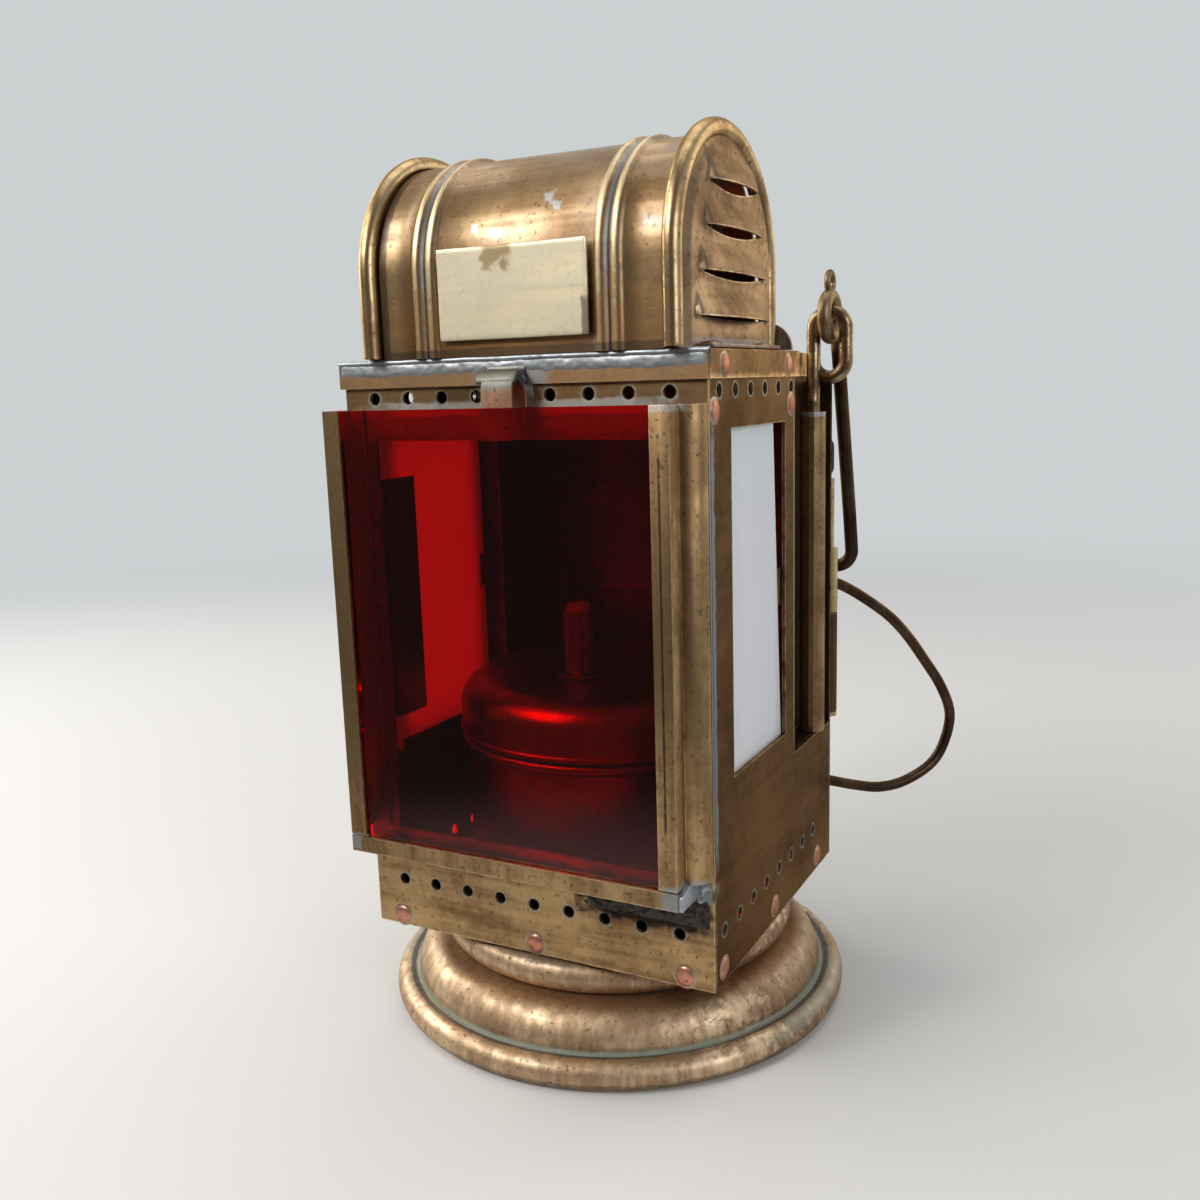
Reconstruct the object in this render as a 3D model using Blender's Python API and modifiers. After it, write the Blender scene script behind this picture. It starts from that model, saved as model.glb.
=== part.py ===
# Railway signal hand lamp in sheet brass: a square body on a spun foot, a barrel roof with
# louvred ends, a red glass that slides in a soldered channel, opal panes in both sides, an oil
# font inside, a low door in the back, a folding wire grip and a carrying bail.
#
# Metres, +Z up. The origin is the centre of the foot on the table, the front looks along -Y.
# Run with: blender --background --python part.py

import math

import bmesh
import bpy
from mathutils import Matrix, Vector

# Clearances and sheet
GAP = 0.0003
OVERRUN = 0.002
WELD_DISTANCE = 0.00001
SHEET = 0.0009
THIN_SHEET = 0.0006

# Foot, spun from one disc with a wired rim
FOOT_RIM_RADIUS = 0.0563
FOOT_BEAD_RADIUS = 0.0036
FOOT_HEIGHT = 0.0244
FOOT_SHEET = 0.0010
FOOT_NECK_RADIUS = 0.0462
FOOT_SEAM_HEIGHT = 0.0160
FOOT_SEAM_RADIUS = 0.0452
FOOT_BULGE_RADIUS = 0.0538
FOOT_BULGE_HEIGHT = 0.0070
FOOT_COVE_RADIUS = 0.0536
FOOT_COVE_RISE_SHARE = 1.5
FOOT_NECK_TURN_SHARE = 0.72
FOOT_TREAD_WIDTH = 0.0020
FOOT_PLATE_THICKNESS = 0.0008
FOOT_PLATE_ANGLE = math.radians(-120)

# Body box
BODY_WIDTH = 0.0920
BODY_DEPTH = 0.0871
BODY_HEIGHT = 0.1389
NOTCH_CLEARANCE = 0.0071
NOTCH_WIDTH = 0.0065
NOTCH_FLOOR_RISE = 0.0390
FLOOR_THICKNESS = 0.0008

# Front opening and vent holes
FRONT_OPENING_WIDTH = 0.0748
FRONT_OPENING_SILL = 0.0264
FRONT_OPENING_HEAD = 0.0171
VENT_DIAMETER = 0.0030
VENT_LOWER_RISE = 0.0124
VENT_UPPER_DROP = 0.0075
FRONT_VENT_PITCH = 0.0094
FRONT_VENT_COUNT = 9
SIDE_VENT_SETBACK = 0.0062
SIDE_VENT_REAR_MARGIN = 0.0158
SIDE_VENT_NOTCH_MARGIN = 0.0028
SIDE_LOWER_VENT_COUNT = 8
SIDE_UPPER_VENT_COUNT = 6

# Side windows and their opal panes
WINDOW_SETBACK = 0.0128
WINDOW_WIDTH = 0.0356
WINDOW_SILL = 0.0461
WINDOW_HEAD = 0.0156
PANE_THICKNESS = 0.0020
PANE_LAP = 0.0032
RIGHT_PANE_LEAN = 0.0056
PANE_GUIDE_LENGTH = 0.0600
PANE_GUIDE_WIDTH = 0.0110
PANE_GUIDE_RISE = 0.0520
PANE_CLIP_WIDTH = 0.0040
PANE_CLIP_CLEARANCE = 0.0010
PANE_CLIP_LENGTH = 0.0090
PANE_CLIP_RISE = 0.0790

# Cap over the top of the body
CAP_HEIGHT = 0.0060
CAP_SHEET = 0.0006
CAP_VENT_WIDTH = 0.0600
CAP_VENT_DEPTH = 0.0420

# Barrel roof
DOME_OFFSET_X = 0.0020
DOME_CENTRE_SETBACK = 0.0257
DOME_RADIUS = 0.0269
DOME_END_RADIUS = 0.0279
DOME_WALL_HEIGHT = 0.0183
DOME_HALF_LENGTH = 0.0352
DOME_BEAD_WIDTH = 0.0037
DOME_BEAD_HEIGHT = 0.0011
DOME_BEAD_PAIR_OUTER = 0.0266
DOME_RIM_RADIUS = 0.0021
DOME_PANEL_INSET = 0.0040
DOME_PANEL_RAISE = 0.0012
DOME_FOOT_WIDTH = 0.0048
DOME_FOOT_INSET = 0.0060
DOME_EAR_RADIUS = 0.0066
DOME_EAR_OFFSET = 0.0385

# Louvres of the roof's end plates
LOUVRE_COUNT = 4
LOUVRE_PITCH = 0.0092
LOUVRE_TOP_DROP = 0.0101
LOUVRE_TOP_WIDTH = 0.0271
LOUVRE_WIDTH_STEP = 0.0052
LOUVRE_HEIGHT = 0.0048
LOUVRE_SAG_SHARE = 0.35
LOUVRE_REACH = 0.0025
LOUVRE_WALL_SHARE = 0.7

# Number plate, left bare
PLATE_WIDTH = 0.0370
PLATE_HEIGHT = 0.0196
PLATE_THICKNESS = 0.0014
PLATE_RISE = 0.0035
PLATE_CORNER = 0.0016

# Channel frame on the front, and the red glass in it
FRAME_OFFSET_X = -0.0016
FRAME_WIDTH = 0.0868
FRAME_DEPTH = 0.0102
FRAME_SHEET = 0.0008
FRAME_LIP = 0.0044
FRAME_RAIL_RISE = 0.0227
FRAME_RAIL_HEIGHT = 0.0040
FRAME_TOP_DROP = 0.0099
FRAME_FLANGE = 0.0044
FRAME_BEAD_RADIUS = 0.0044
GLASS_THICKNESS = 0.0020
GLASS_LIP_LAP = 0.0003

# Spring tongue behind the top of the glass
TONGUE_WIDTH = 0.0078
TONGUE_THICKNESS = 0.0006
TONGUE_DROP = 0.0070
TONGUE_RISE = 0.0066
TONGUE_SEAT = 0.0036

# Bends of the tongue: shares of its reach and of its rise
TONGUE_ROUTE_SHARES = [(0.0, 0.35), (0.35, 0.62), (0.55, 1.0), (0.8, 0.98), (1.0, 0.5)]

# Oil font
FONT_INSET = 0.0014
FONT_WALL = 0.0010
FONT_HEIGHT = 0.0452
FONT_RIM_BEAD = 0.0015
FONT_LID_CLEARANCE = 0.00375
FONT_LID_WALL = 0.0009
FONT_LID_SIDE = 0.0070
FONT_LID_RISE = 0.0072
FONT_LID_DOME = 0.0020
WICK_TUBE_RADIUS = 0.00365
WICK_TUBE_WALL = 0.0005
WICK_TUBE_HEIGHT = 0.0180
WICK_TUBE_OFFSET = 0.0160
WICK_COLLAR_RADIUS = 0.0056
WICK_COLLAR_HEIGHT = 0.0012
WICK_LENGTH = 0.0500
WICK_PROUD = 0.0016

# Corner tubes and the eyes that rise from them
TUBE_RADIUS = 0.0033
TUBE_WALL = 0.0010
TUBE_TOP_DROP = 0.0143
TUBE_INSET_X = 0.0019
TUBE_SETBACK = 0.0107
WIRE_RADIUS = 0.0018
EYE_OFFSET_X = 0.0031
EYE_OFFSET_Y = 0.0042
EYE_RADIUS = 0.0043
EYE_STRAIGHT = 0.0080
EYE_TOP_RISE = 0.0110
SHANK_DEPTH = 0.0120

# Carrying bail
BAIL_RING_RADIUS = 0.0052
BAIL_RING_SLACK = 0.0012
BAIL_CLEARANCE = 0.0005
BAIL_FLARE = 0.0012
BAIL_CORNER = 0.0050
BAIL_TIP_RADIUS = 0.0024
BAIL_TIP_WIRE = 0.00085

# Rear sheet, door and hinge
REAR_SHEET_DROP = 0.0063
REAR_TAB_INSET = 0.0003
DOOR_OPENING_WIDTH = 0.0800
DOOR_OPENING_HEIGHT = 0.0700
DOOR_OPENING_SILL = 0.0040
DOOR_LAP = 0.0020
DOOR_SHEET = 0.0010
DOOR_HINGE_LAP = 0.0032
HINGE_INSET_X = 0.0010
HINGE_RADIUS = 0.0020
HINGE_BORE_RADIUS = 0.00115
HINGE_PIN_RADIUS = 0.0010
DOOR_KNUCKLE_DROP = 0.0067
DOOR_KNUCKLE_LENGTH = 0.0280
BODY_KNUCKLE_LENGTH = 0.0180
HINGE_PIN_LENGTH = 0.0665
HINGE_PIN_DROP = 0.0015
HINGE_LEAF_WIDTH = 0.0110
PIN_TAB_WIDTH = 0.0060
PIN_TAB_HEIGHT = 0.0110
KNOB_RADIUS = 0.0045
KNOB_REACH = 0.0090
KNOB_INSET = 0.0080
DOOR_SPRING_LENGTH = 0.0200
DOOR_SPRING_WIDTH = 0.0050
DOOR_SPRING_THICKNESS = 0.0005
DOOR_SPRING_RISE = 0.0230
DOOR_SPRING_REACH = 0.0054

# Turned knob: shares of its radius and of its reach, from its top to its foot
KNOB_PROFILE_SHARES = [(0, 1), (0.7, 0.95), (1, 0.75), (0.8, 0.5), (0.4, 0.35), (0.45, 0.12), (0.75, 0), (0, 0)]

# Bends of the door's spring: shares of its width and of its reach
DOOR_SPRING_ROUTE_SHARES = [(1.6, 0), (0.9, 0), (0.3, 0.2), (0, 0.45), (0.1, 0.75), (0.4, 1)]

# Folding grip on the door
GRIP_WIRE_RADIUS = 0.0015
GRIP_REACH = 0.0487
GRIP_PROUD = 0.0009
GRIP_HEIGHT = 0.0632
GRIP_TURN = math.radians(45)
GRIP_INSET_X = 0.0080
GRIP_SLEEVE_RADIUS = 0.0024
GRIP_SLEEVE_LENGTH = 0.0060
GRIP_SLEEVE_SINK = 0.0003
GRIP_UPPER_SLEEVE_SHARE = 0.06
GRIP_LOWER_SLEEVE_SHARE = 0.17
GRIP_SLEEVE_CLEARANCE = 0.00015

# Route of the grip's wire: shares of its reach and of its height, from sleeve to sleeve
GRIP_ROUTE_SHARES = [
    (0.0, 0.90), (0.0, 0.95), (0.03, 0.985), (0.10, 1.0), (0.216, 0.985), (0.32, 0.945),
    (0.421, 0.895), (0.53, 0.835), (0.618, 0.775), (0.71, 0.695), (0.793, 0.609), (0.93, 0.455),
    (1.0, 0.312), (0.961, 0.172), (0.867, 0.074), (0.686, 0.011), (0.511, 0.0), (0.335, 0.03),
    (0.20, 0.062), (0.08, 0.09), (0.02, 0.115), (0.0, 0.155), (0.0, 0.21),
]

# Facets
ROUND_STEPS = 36
BEAD_STEPS = 12
HOLE_STEPS = 12
ARCH_STEPS = 18
WIRE_SIDES = 10

# Places worked out from the sizes
BODY_BOTTOM = FOOT_HEIGHT + GAP
BODY_TOP = BODY_BOTTOM + BODY_HEIGHT
BODY_FRONT = -BODY_DEPTH / 2
BODY_REAR = BODY_DEPTH / 2
BODY_SIDE = BODY_WIDTH / 2
NOTCH_Y = BODY_FRONT + WINDOW_SETBACK + WINDOW_WIDTH + NOTCH_CLEARANCE
NOTCH_X = BODY_SIDE - NOTCH_WIDTH
NOTCH_FLOOR = BODY_BOTTOM + NOTCH_FLOOR_RISE
WINDOW_LOW = BODY_BOTTOM + WINDOW_SILL
WINDOW_HIGH = BODY_TOP - WINDOW_HEAD
REAR_INNER = BODY_REAR - SHEET
CAP_TOP = BODY_TOP + GAP + CAP_SHEET
CAP_REACH = GAP + CAP_SHEET
DOME_BASE = CAP_TOP + GAP
DOME_CENTRE_Y = BODY_FRONT + DOME_CENTRE_SETBACK
DOME_SPRING = DOME_BASE + DOME_WALL_HEIGHT
FRAME_FRONT = BODY_FRONT - FRAME_DEPTH
FRAME_LEFT = FRAME_OFFSET_X - FRAME_WIDTH / 2
FRAME_RIGHT = FRAME_OFFSET_X + FRAME_WIDTH / 2
FRAME_BOTTOM = BODY_BOTTOM + FRAME_RAIL_RISE
FRAME_TOP = BODY_TOP - FRAME_TOP_DROP
GLASS_FRONT = FRAME_FRONT + FRAME_SHEET + GAP
GLASS_BACK = GLASS_FRONT + GLASS_THICKNESS
GLASS_BOTTOM = FRAME_BOTTOM + FRAME_SHEET + GAP
GLASS_LEFT = FRAME_LEFT + FRAME_LIP - GLASS_LIP_LAP
GLASS_RIGHT = FRAME_RIGHT - FRAME_SHEET - GAP
FONT_LID_RADIUS = min(BODY_WIDTH, BODY_DEPTH) / 2 - SHEET - FONT_LID_CLEARANCE
FONT_RADIUS = FONT_LID_RADIUS - FONT_INSET
FONT_BOTTOM = BODY_BOTTOM + FLOOR_THICKNESS + GAP
FONT_TOP = FONT_BOTTOM + FONT_HEIGHT
LID_BOTTOM = FONT_TOP + GAP
LID_TOP = LID_BOTTOM + FONT_LID_SIDE + FONT_LID_RISE
TUBE_X = BODY_SIDE - TUBE_INSET_X
TUBE_Y = BODY_REAR - TUBE_SETBACK
TUBE_BOTTOM = NOTCH_FLOOR + GAP
TUBE_TOP = BODY_TOP - TUBE_TOP_DROP
EYE_X = TUBE_X + EYE_OFFSET_X
EYE_Y = TUBE_Y + EYE_OFFSET_Y
PIVOT_Z = BODY_TOP + EYE_TOP_RISE
REAR_SHEET_TOP = BODY_TOP - REAR_SHEET_DROP
DOOR_INNER = BODY_REAR + GAP
DOOR_OUTER = DOOR_INNER + DOOR_SHEET
DOOR_BOTTOM = BODY_BOTTOM + DOOR_OPENING_SILL - DOOR_LAP
DOOR_TOP = BODY_BOTTOM + DOOR_OPENING_SILL + DOOR_OPENING_HEIGHT + DOOR_LAP
HINGE_X = BODY_SIDE - HINGE_INSET_X
HINGE_Y = DOOR_INNER + GAP + HINGE_RADIUS
DOOR_KNUCKLE_Z = DOOR_TOP - DOOR_KNUCKLE_DROP - DOOR_KNUCKLE_LENGTH
BODY_KNUCKLE_Z = DOOR_KNUCKLE_Z + DOOR_KNUCKLE_LENGTH + GAP
GRIP_X = HINGE_X - GRIP_INSET_X
GRIP_Y = DOOR_OUTER + GRIP_SLEEVE_RADIUS - GRIP_SLEEVE_SINK
GRIP_TOP = DOOR_TOP + GRIP_PROUD
GRIP_BOTTOM = GRIP_TOP - GRIP_HEIGHT


# Scene, collections and materials
def clear_scene():
    for item in list(bpy.data.objects):
        bpy.data.objects.remove(item, do_unlink=True)


def make_collection(name):
    group = bpy.data.collections.new(name)
    bpy.context.scene.collection.children.link(group)
    return group


def make_material(name, colour, metallic, roughness, transmission=0.0):
    material = bpy.data.materials.new(name)
    material.use_nodes = True
    shader = material.node_tree.nodes["Principled BSDF"]
    shader.inputs["Base Color"].default_value = (*colour, 1.0)
    shader.inputs["Metallic"].default_value = metallic
    shader.inputs["Roughness"].default_value = roughness
    shader.inputs["Transmission Weight"].default_value = transmission
    material.diffuse_color = (*colour, 1.0)
    return material


clear_scene()
PARTS = make_collection("signal_hand_lamp")
CUTTERS = make_collection("cutters")
BRASS = make_material("aged_brass", (0.36, 0.24, 0.11), 0.9, 0.42)
BRIGHT_BRASS = make_material("scratched_brass", (0.62, 0.50, 0.26), 0.9, 0.35)
DARK_WIRE = make_material("dark_wire", (0.10, 0.065, 0.04), 0.8, 0.45)
SOLDERED = make_material("tinned_brass", (0.34, 0.34, 0.33), 0.7, 0.5)
RED_GLASS = make_material("red_glass", (0.55, 0.01, 0.01), 0.0, 0.08, 0.9)
OPAL_GLASS = make_material("opal_glass", (0.82, 0.84, 0.86), 0.0, 0.25)
COTTON = make_material("wick_cotton", (0.55, 0.50, 0.42), 0.0, 0.95)


# Object helpers
def link_object(name, mesh, material=None):
    item = bpy.data.objects.new(name, mesh)
    if material is None:
        CUTTERS.objects.link(item)
        item.hide_render = True
        item.display_type = "WIRE"
    else:
        PARTS.objects.link(item)
        mesh.materials.append(material)
    return item


def smooth(item, angle=math.radians(35)):
    item.data.shade_smooth()
    item.data.set_sharp_from_angle(angle=angle)
    return item


def box(name, low, high, material=None):
    low, high = Vector(low), Vector(high)
    size = high - low
    shape = bmesh.new()
    bmesh.ops.create_cube(shape, size=1)
    bmesh.ops.transform(shape, matrix=Matrix.Diagonal((*size, 1)), verts=shape.verts)
    bmesh.ops.translate(shape, vec=(low + high) / 2, verts=shape.verts)
    mesh = bpy.data.meshes.new(name)
    shape.to_mesh(mesh)
    shape.free()
    return link_object(name, mesh, material)


def cylinder(name, radius, start, end, material=None, steps=BEAD_STEPS):
    start, end = Vector(start), Vector(end)
    way = end - start
    shape = bmesh.new()
    bmesh.ops.create_cone(shape, cap_ends=True, segments=steps, radius1=radius, radius2=radius,
                          depth=way.length)
    turn = way.to_track_quat("Z", "Y").to_matrix().to_4x4()
    bmesh.ops.transform(shape, matrix=Matrix.Translation((start + end) / 2) @ turn, verts=shape.verts)
    mesh = bpy.data.meshes.new(name)
    shape.to_mesh(mesh)
    shape.free()
    return smooth(link_object(name, mesh, material))


def add_boolean(target, other, operation):
    step = target.modifiers.new(operation.lower() + "_" + other.name, "BOOLEAN")
    step.operation = operation
    step.solver = "EXACT"
    step.object = other
    return target


def cut(target, other):
    return add_boolean(target, other, "DIFFERENCE")


def join(target, other):
    return add_boolean(target, other, "UNION")


def turned(name, profile, material=None, centre=(0, 0, 0), steps=ROUND_STEPS):
    """Spins a closed profile of (radius, height) points, outer side first, top to bottom."""
    mesh = bpy.data.meshes.new(name)
    count = len(profile)
    edges = [(i, (i + 1) % count) for i in range(count)]
    mesh.from_pydata([(radius, 0, height) for radius, height in profile], edges, [])
    item = link_object(name, mesh, material)
    spin = item.modifiers.new("spin", "SCREW")
    spin.steps = steps
    spin.render_steps = steps
    spin.use_merge_vertices = True
    spin.merge_threshold = WELD_DISTANCE
    spin.use_smooth_shade = True
    item.location = centre
    return item


def turned_solid(name, profile, material=None, centre=(0, 0, 0), steps=BEAD_STEPS):
    """Spins an open profile that starts and ends on the axis, top to bottom."""
    mesh = bpy.data.meshes.new(name)
    edges = [(i, i + 1) for i in range(len(profile) - 1)]
    mesh.from_pydata([(radius, 0, height) for radius, height in profile], edges, [])
    item = link_object(name, mesh, material)
    spin = item.modifiers.new("spin", "SCREW")
    spin.steps = steps
    spin.render_steps = steps
    spin.use_merge_vertices = True
    spin.merge_threshold = WELD_DISTANCE
    spin.use_smooth_shade = True
    item.location = centre
    return item


def flat_plate(name, outlines, thickness, turn, place, material=None):
    """A flat sheet cut from outlines of (u, v) points: the first is the edge, the rest are holes."""
    curve = bpy.data.curves.new(name, "CURVE")
    curve.dimensions = "2D"
    curve.fill_mode = "BOTH"
    curve.extrude = thickness / 2
    for outline in outlines:
        spline = curve.splines.new("POLY")
        spline.points.add(len(outline) - 1)
        for point, (u, v) in zip(spline.points, outline):
            point.co = (u, v, 0, 1)
        spline.use_cyclic_u = True
    drawn = bpy.data.objects.new(name + "_outline", curve)
    CUTTERS.objects.link(drawn)
    drawn.matrix_world = Matrix.Translation(place) @ turn.to_4x4()
    return mesh_from_curve(name, drawn, material)


def mesh_from_curve(name, drawn, material):
    """Makes a welded mesh object of a curve, in the curve's place, and removes the curve."""
    bpy.context.view_layer.update()
    evaluated = drawn.evaluated_get(bpy.context.evaluated_depsgraph_get())
    mesh = bpy.data.meshes.new_from_object(evaluated)
    mesh.name = name
    place = drawn.matrix_world.copy()
    shape = bmesh.new()
    shape.from_mesh(mesh)
    bmesh.ops.remove_doubles(shape, verts=shape.verts, dist=WELD_DISTANCE)
    bmesh.ops.recalc_face_normals(shape, faces=shape.faces)
    shape.to_mesh(mesh)
    shape.free()
    mesh.materials.clear()
    bpy.data.objects.remove(drawn, do_unlink=True)
    item = link_object(name, mesh, material)
    item.matrix_world = place
    return item


def wire(name, points, radius, material=None, cyclic=False, sides=WIRE_SIDES):
    """A round wire through the points."""
    curve = bpy.data.curves.new(name, "CURVE")
    curve.dimensions = "3D"
    curve.bevel_depth = radius
    curve.bevel_resolution = (sides - 4) // 2
    curve.use_fill_caps = not cyclic
    spline = curve.splines.new("POLY")
    spline.points.add(len(points) - 1)
    for point, place in zip(spline.points, points):
        point.co = (*place, 1)
    spline.use_cyclic_u = cyclic
    drawn = bpy.data.objects.new(name + "_path", curve)
    CUTTERS.objects.link(drawn)
    return smooth(mesh_from_curve(name, drawn, material), math.radians(60))


def bent_sheet(name, path, low, high, thickness, material):
    """A sheet folded along a path of (x, y) points and standing from low to high."""
    mesh = bpy.data.meshes.new(name)
    count = len(path)
    points = [(x, y, low) for x, y in path] + [(x, y, high) for x, y in path]
    faces = [(i, i + 1, i + 1 + count, i + count) for i in range(count - 1)]
    mesh.from_pydata(points, [], faces)
    item = link_object(name, mesh, material)
    wall = item.modifiers.new("thickness", "SOLIDIFY")
    wall.thickness = thickness
    wall.offset = 0
    wall.use_even_offset = True
    return item


# Outline helpers
def rectangle(u_low, u_high, v_low, v_high):
    return [(u_low, v_low), (u_high, v_low), (u_high, v_high), (u_low, v_high)]


def circle(u, v, radius, steps=HOLE_STEPS):
    turn = 2 * math.pi / steps
    return [(u + radius * math.cos(turn * i), v + radius * math.sin(turn * i)) for i in range(steps)]


def arc(u, v, radius, start, end, steps):
    """Points on an arc from start to end, both included."""
    return [
        (u + radius * math.cos(start + (end - start) * i / steps),
         v + radius * math.sin(start + (end - start) * i / steps))
        for i in range(steps + 1)
    ]


def rounded_rectangle(u_low, u_high, v_low, v_high, radius, steps=4):
    quarter = math.pi / 2
    return (
        arc(u_high - radius, v_high - radius, radius, 0, quarter, steps)
        + arc(u_low + radius, v_high - radius, radius, quarter, 2 * quarter, steps)
        + arc(u_low + radius, v_low + radius, radius, 2 * quarter, 3 * quarter, steps)
        + arc(u_high - radius, v_low + radius, radius, 3 * quarter, 4 * quarter, steps)
    )


def smooth_path(points, steps):
    """A Catmull-Rom curve through the points."""
    path = [Vector(point) for point in points]
    ends = [path[0] * 2 - path[1]] + path + [path[-1] * 2 - path[-2]]
    places = []
    for i in range(1, len(ends) - 2):
        a, b, c, d = ends[i - 1], ends[i], ends[i + 1], ends[i + 2]
        for k in range(steps):
            t = k / steps
            places.append(((b * 2) + (c - a) * t + (a * 2 - b * 5 + c * 4 - d) * t * t
                           + (b * 3 - a - c * 3 + d) * t * t * t) / 2)
    places.append(path[-1])
    return places


# Sheets that stand across the lamp, along its side, or lie flat
FACING_Y = Matrix.Rotation(math.radians(90), 3, "X")
FACING_X = Matrix(((0, 0, 1), (1, 0, 0), (0, 1, 0)))
LYING = Matrix.Identity(3)


def across(name, outlines, thickness, y, material=None):
    """A sheet in the XZ plane, with its middle at y."""
    return flat_plate(name, outlines, thickness, FACING_Y, (0, y, 0), material)


def along(name, outlines, thickness, x, material=None):
    """A sheet in the YZ plane, with its middle at x."""
    return flat_plate(name, outlines, thickness, FACING_X, (x, 0, 0), material)


def lying(name, outlines, thickness, z, material=None):
    """A sheet in the XY plane, with its middle at z."""
    return flat_plate(name, outlines, thickness, LYING, (0, 0, z), material)


# Foot
def foot_profile():
    """One spun sheet: neck ring, seam, ogee bulge, cove and wired rim, then back up inside."""
    half = math.pi / 2
    neck = FOOT_NECK_RADIUS
    neck_rise = (FOOT_HEIGHT - FOOT_SEAM_HEIGHT) / 2
    outer = arc(neck - neck_rise, FOOT_SEAM_HEIGHT + neck_rise, neck_rise, half, -half * FOOT_NECK_TURN_SHARE, 5)
    outer.append((FOOT_SEAM_RADIUS, FOOT_SEAM_HEIGHT))
    bulge_rise = FOOT_SEAM_HEIGHT - FOOT_BULGE_HEIGHT
    bulge_run = FOOT_BULGE_RADIUS - FOOT_SEAM_RADIUS
    for i in range(1, 6):
        angle = half * i / 5
        outer.append((FOOT_SEAM_RADIUS + bulge_run * math.sin(angle),
                      FOOT_BULGE_HEIGHT + bulge_rise * math.cos(angle)))
    outer.append((FOOT_COVE_RADIUS, FOOT_BEAD_RADIUS * FOOT_COVE_RISE_SHARE))
    bead = arc(FOOT_RIM_RADIUS, FOOT_BEAD_RADIUS, FOOT_BEAD_RADIUS, math.radians(135),
               math.radians(-60), 9)
    tread = [(FOOT_RIM_RADIUS + FOOT_TREAD_WIDTH / 2, 0), (FOOT_RIM_RADIUS - FOOT_TREAD_WIDTH / 2, 0)]
    inner_bead = arc(FOOT_RIM_RADIUS, FOOT_BEAD_RADIUS, FOOT_BEAD_RADIUS, FOOT_PLATE_ANGLE,
                     math.radians(-160), 2)
    inner = [(radius - FOOT_SHEET, height) for radius, height in outer[1:]]
    inner.reverse()
    top = [(outer[0][0], FOOT_HEIGHT - FOOT_SHEET)]
    return outer + bead + tread + inner_bead + inner + top


def make_foot():
    turned("foot", foot_profile(), BRASS)
    radius = FOOT_RIM_RADIUS + FOOT_BEAD_RADIUS * math.cos(FOOT_PLATE_ANGLE) - 2 * GAP
    cylinder("foot_plate", radius, (0, 0, 0), (0, 0, FOOT_PLATE_THICKNESS), BRASS, ROUND_STEPS)


# Body sheets
def vent_row(first, pitch, count, height):
    return [circle(first + pitch * i, height, VENT_DIAMETER / 2) for i in range(count)]


def make_front_sheet():
    edge = rectangle(-BODY_SIDE, BODY_SIDE, BODY_BOTTOM, BODY_TOP)
    opening = rectangle(-FRONT_OPENING_WIDTH / 2, FRONT_OPENING_WIDTH / 2, BODY_BOTTOM + FRONT_OPENING_SILL,
                        BODY_TOP - FRONT_OPENING_HEAD)
    first = -FRONT_VENT_PITCH * (FRONT_VENT_COUNT - 1) / 2
    lower = vent_row(first, FRONT_VENT_PITCH, FRONT_VENT_COUNT, BODY_BOTTOM + VENT_LOWER_RISE)
    upper = vent_row(first, FRONT_VENT_PITCH, FRONT_VENT_COUNT, BODY_TOP - VENT_UPPER_DROP)
    across("front_sheet", [edge, opening] + lower + upper, SHEET, BODY_FRONT + SHEET / 2, BRASS)


def side_outline():
    front = BODY_FRONT + SHEET + GAP
    rear = REAR_INNER - GAP
    return [(front, BODY_BOTTOM), (rear, BODY_BOTTOM), (rear, NOTCH_FLOOR), (NOTCH_Y, NOTCH_FLOOR),
            (NOTCH_Y, BODY_TOP), (front, BODY_TOP)]


def window_outline():
    front = BODY_FRONT + WINDOW_SETBACK
    return rectangle(front, front + WINDOW_WIDTH, WINDOW_LOW, WINDOW_HIGH)


def make_side_sheet(side, name):
    first = BODY_FRONT + SIDE_VENT_SETBACK
    lower_pitch = (BODY_REAR - SIDE_VENT_REAR_MARGIN - first) / (SIDE_LOWER_VENT_COUNT - 1)
    upper_pitch = (NOTCH_Y - SIDE_VENT_NOTCH_MARGIN - first) / (SIDE_UPPER_VENT_COUNT - 1)
    lower = vent_row(first, lower_pitch, SIDE_LOWER_VENT_COUNT, BODY_BOTTOM + VENT_LOWER_RISE)
    upper = vent_row(first, upper_pitch, SIDE_UPPER_VENT_COUNT, BODY_TOP - VENT_UPPER_DROP)
    along(name, [side_outline(), window_outline()] + lower + upper, SHEET,
          side * (BODY_SIDE - SHEET / 2), BRASS)


def make_corner_recess(side, name):
    """Three walls that close the notch in an upper rear corner, open outwards."""
    inner = NOTCH_X - SHEET
    outer = BODY_SIDE - SHEET - GAP
    rear = REAR_INNER - GAP
    block = box(name, (min(side * inner, side * outer), NOTCH_Y - SHEET, NOTCH_FLOOR - SHEET),
                (max(side * inner, side * outer), rear, BODY_TOP), BRASS)
    past = outer + OVERRUN
    space = box(name + "_space", (min(side * NOTCH_X, side * past), NOTCH_Y, NOTCH_FLOOR),
                (max(side * NOTCH_X, side * past), rear + OVERRUN, BODY_TOP + OVERRUN))
    cut(block, space)


def make_rear_sheet():
    tab = NOTCH_X - REAR_TAB_INSET
    edge = [(-BODY_SIDE, BODY_BOTTOM), (BODY_SIDE, BODY_BOTTOM), (BODY_SIDE, REAR_SHEET_TOP),
            (tab, REAR_SHEET_TOP), (tab, BODY_TOP), (-tab, BODY_TOP), (-tab, REAR_SHEET_TOP),
            (-BODY_SIDE, REAR_SHEET_TOP)]
    sill = BODY_BOTTOM + DOOR_OPENING_SILL
    opening = rectangle(-DOOR_OPENING_WIDTH / 2, DOOR_OPENING_WIDTH / 2, sill, sill + DOOR_OPENING_HEIGHT)
    across("rear_sheet", [edge, opening], SHEET, BODY_REAR - SHEET / 2, BRASS)


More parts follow.
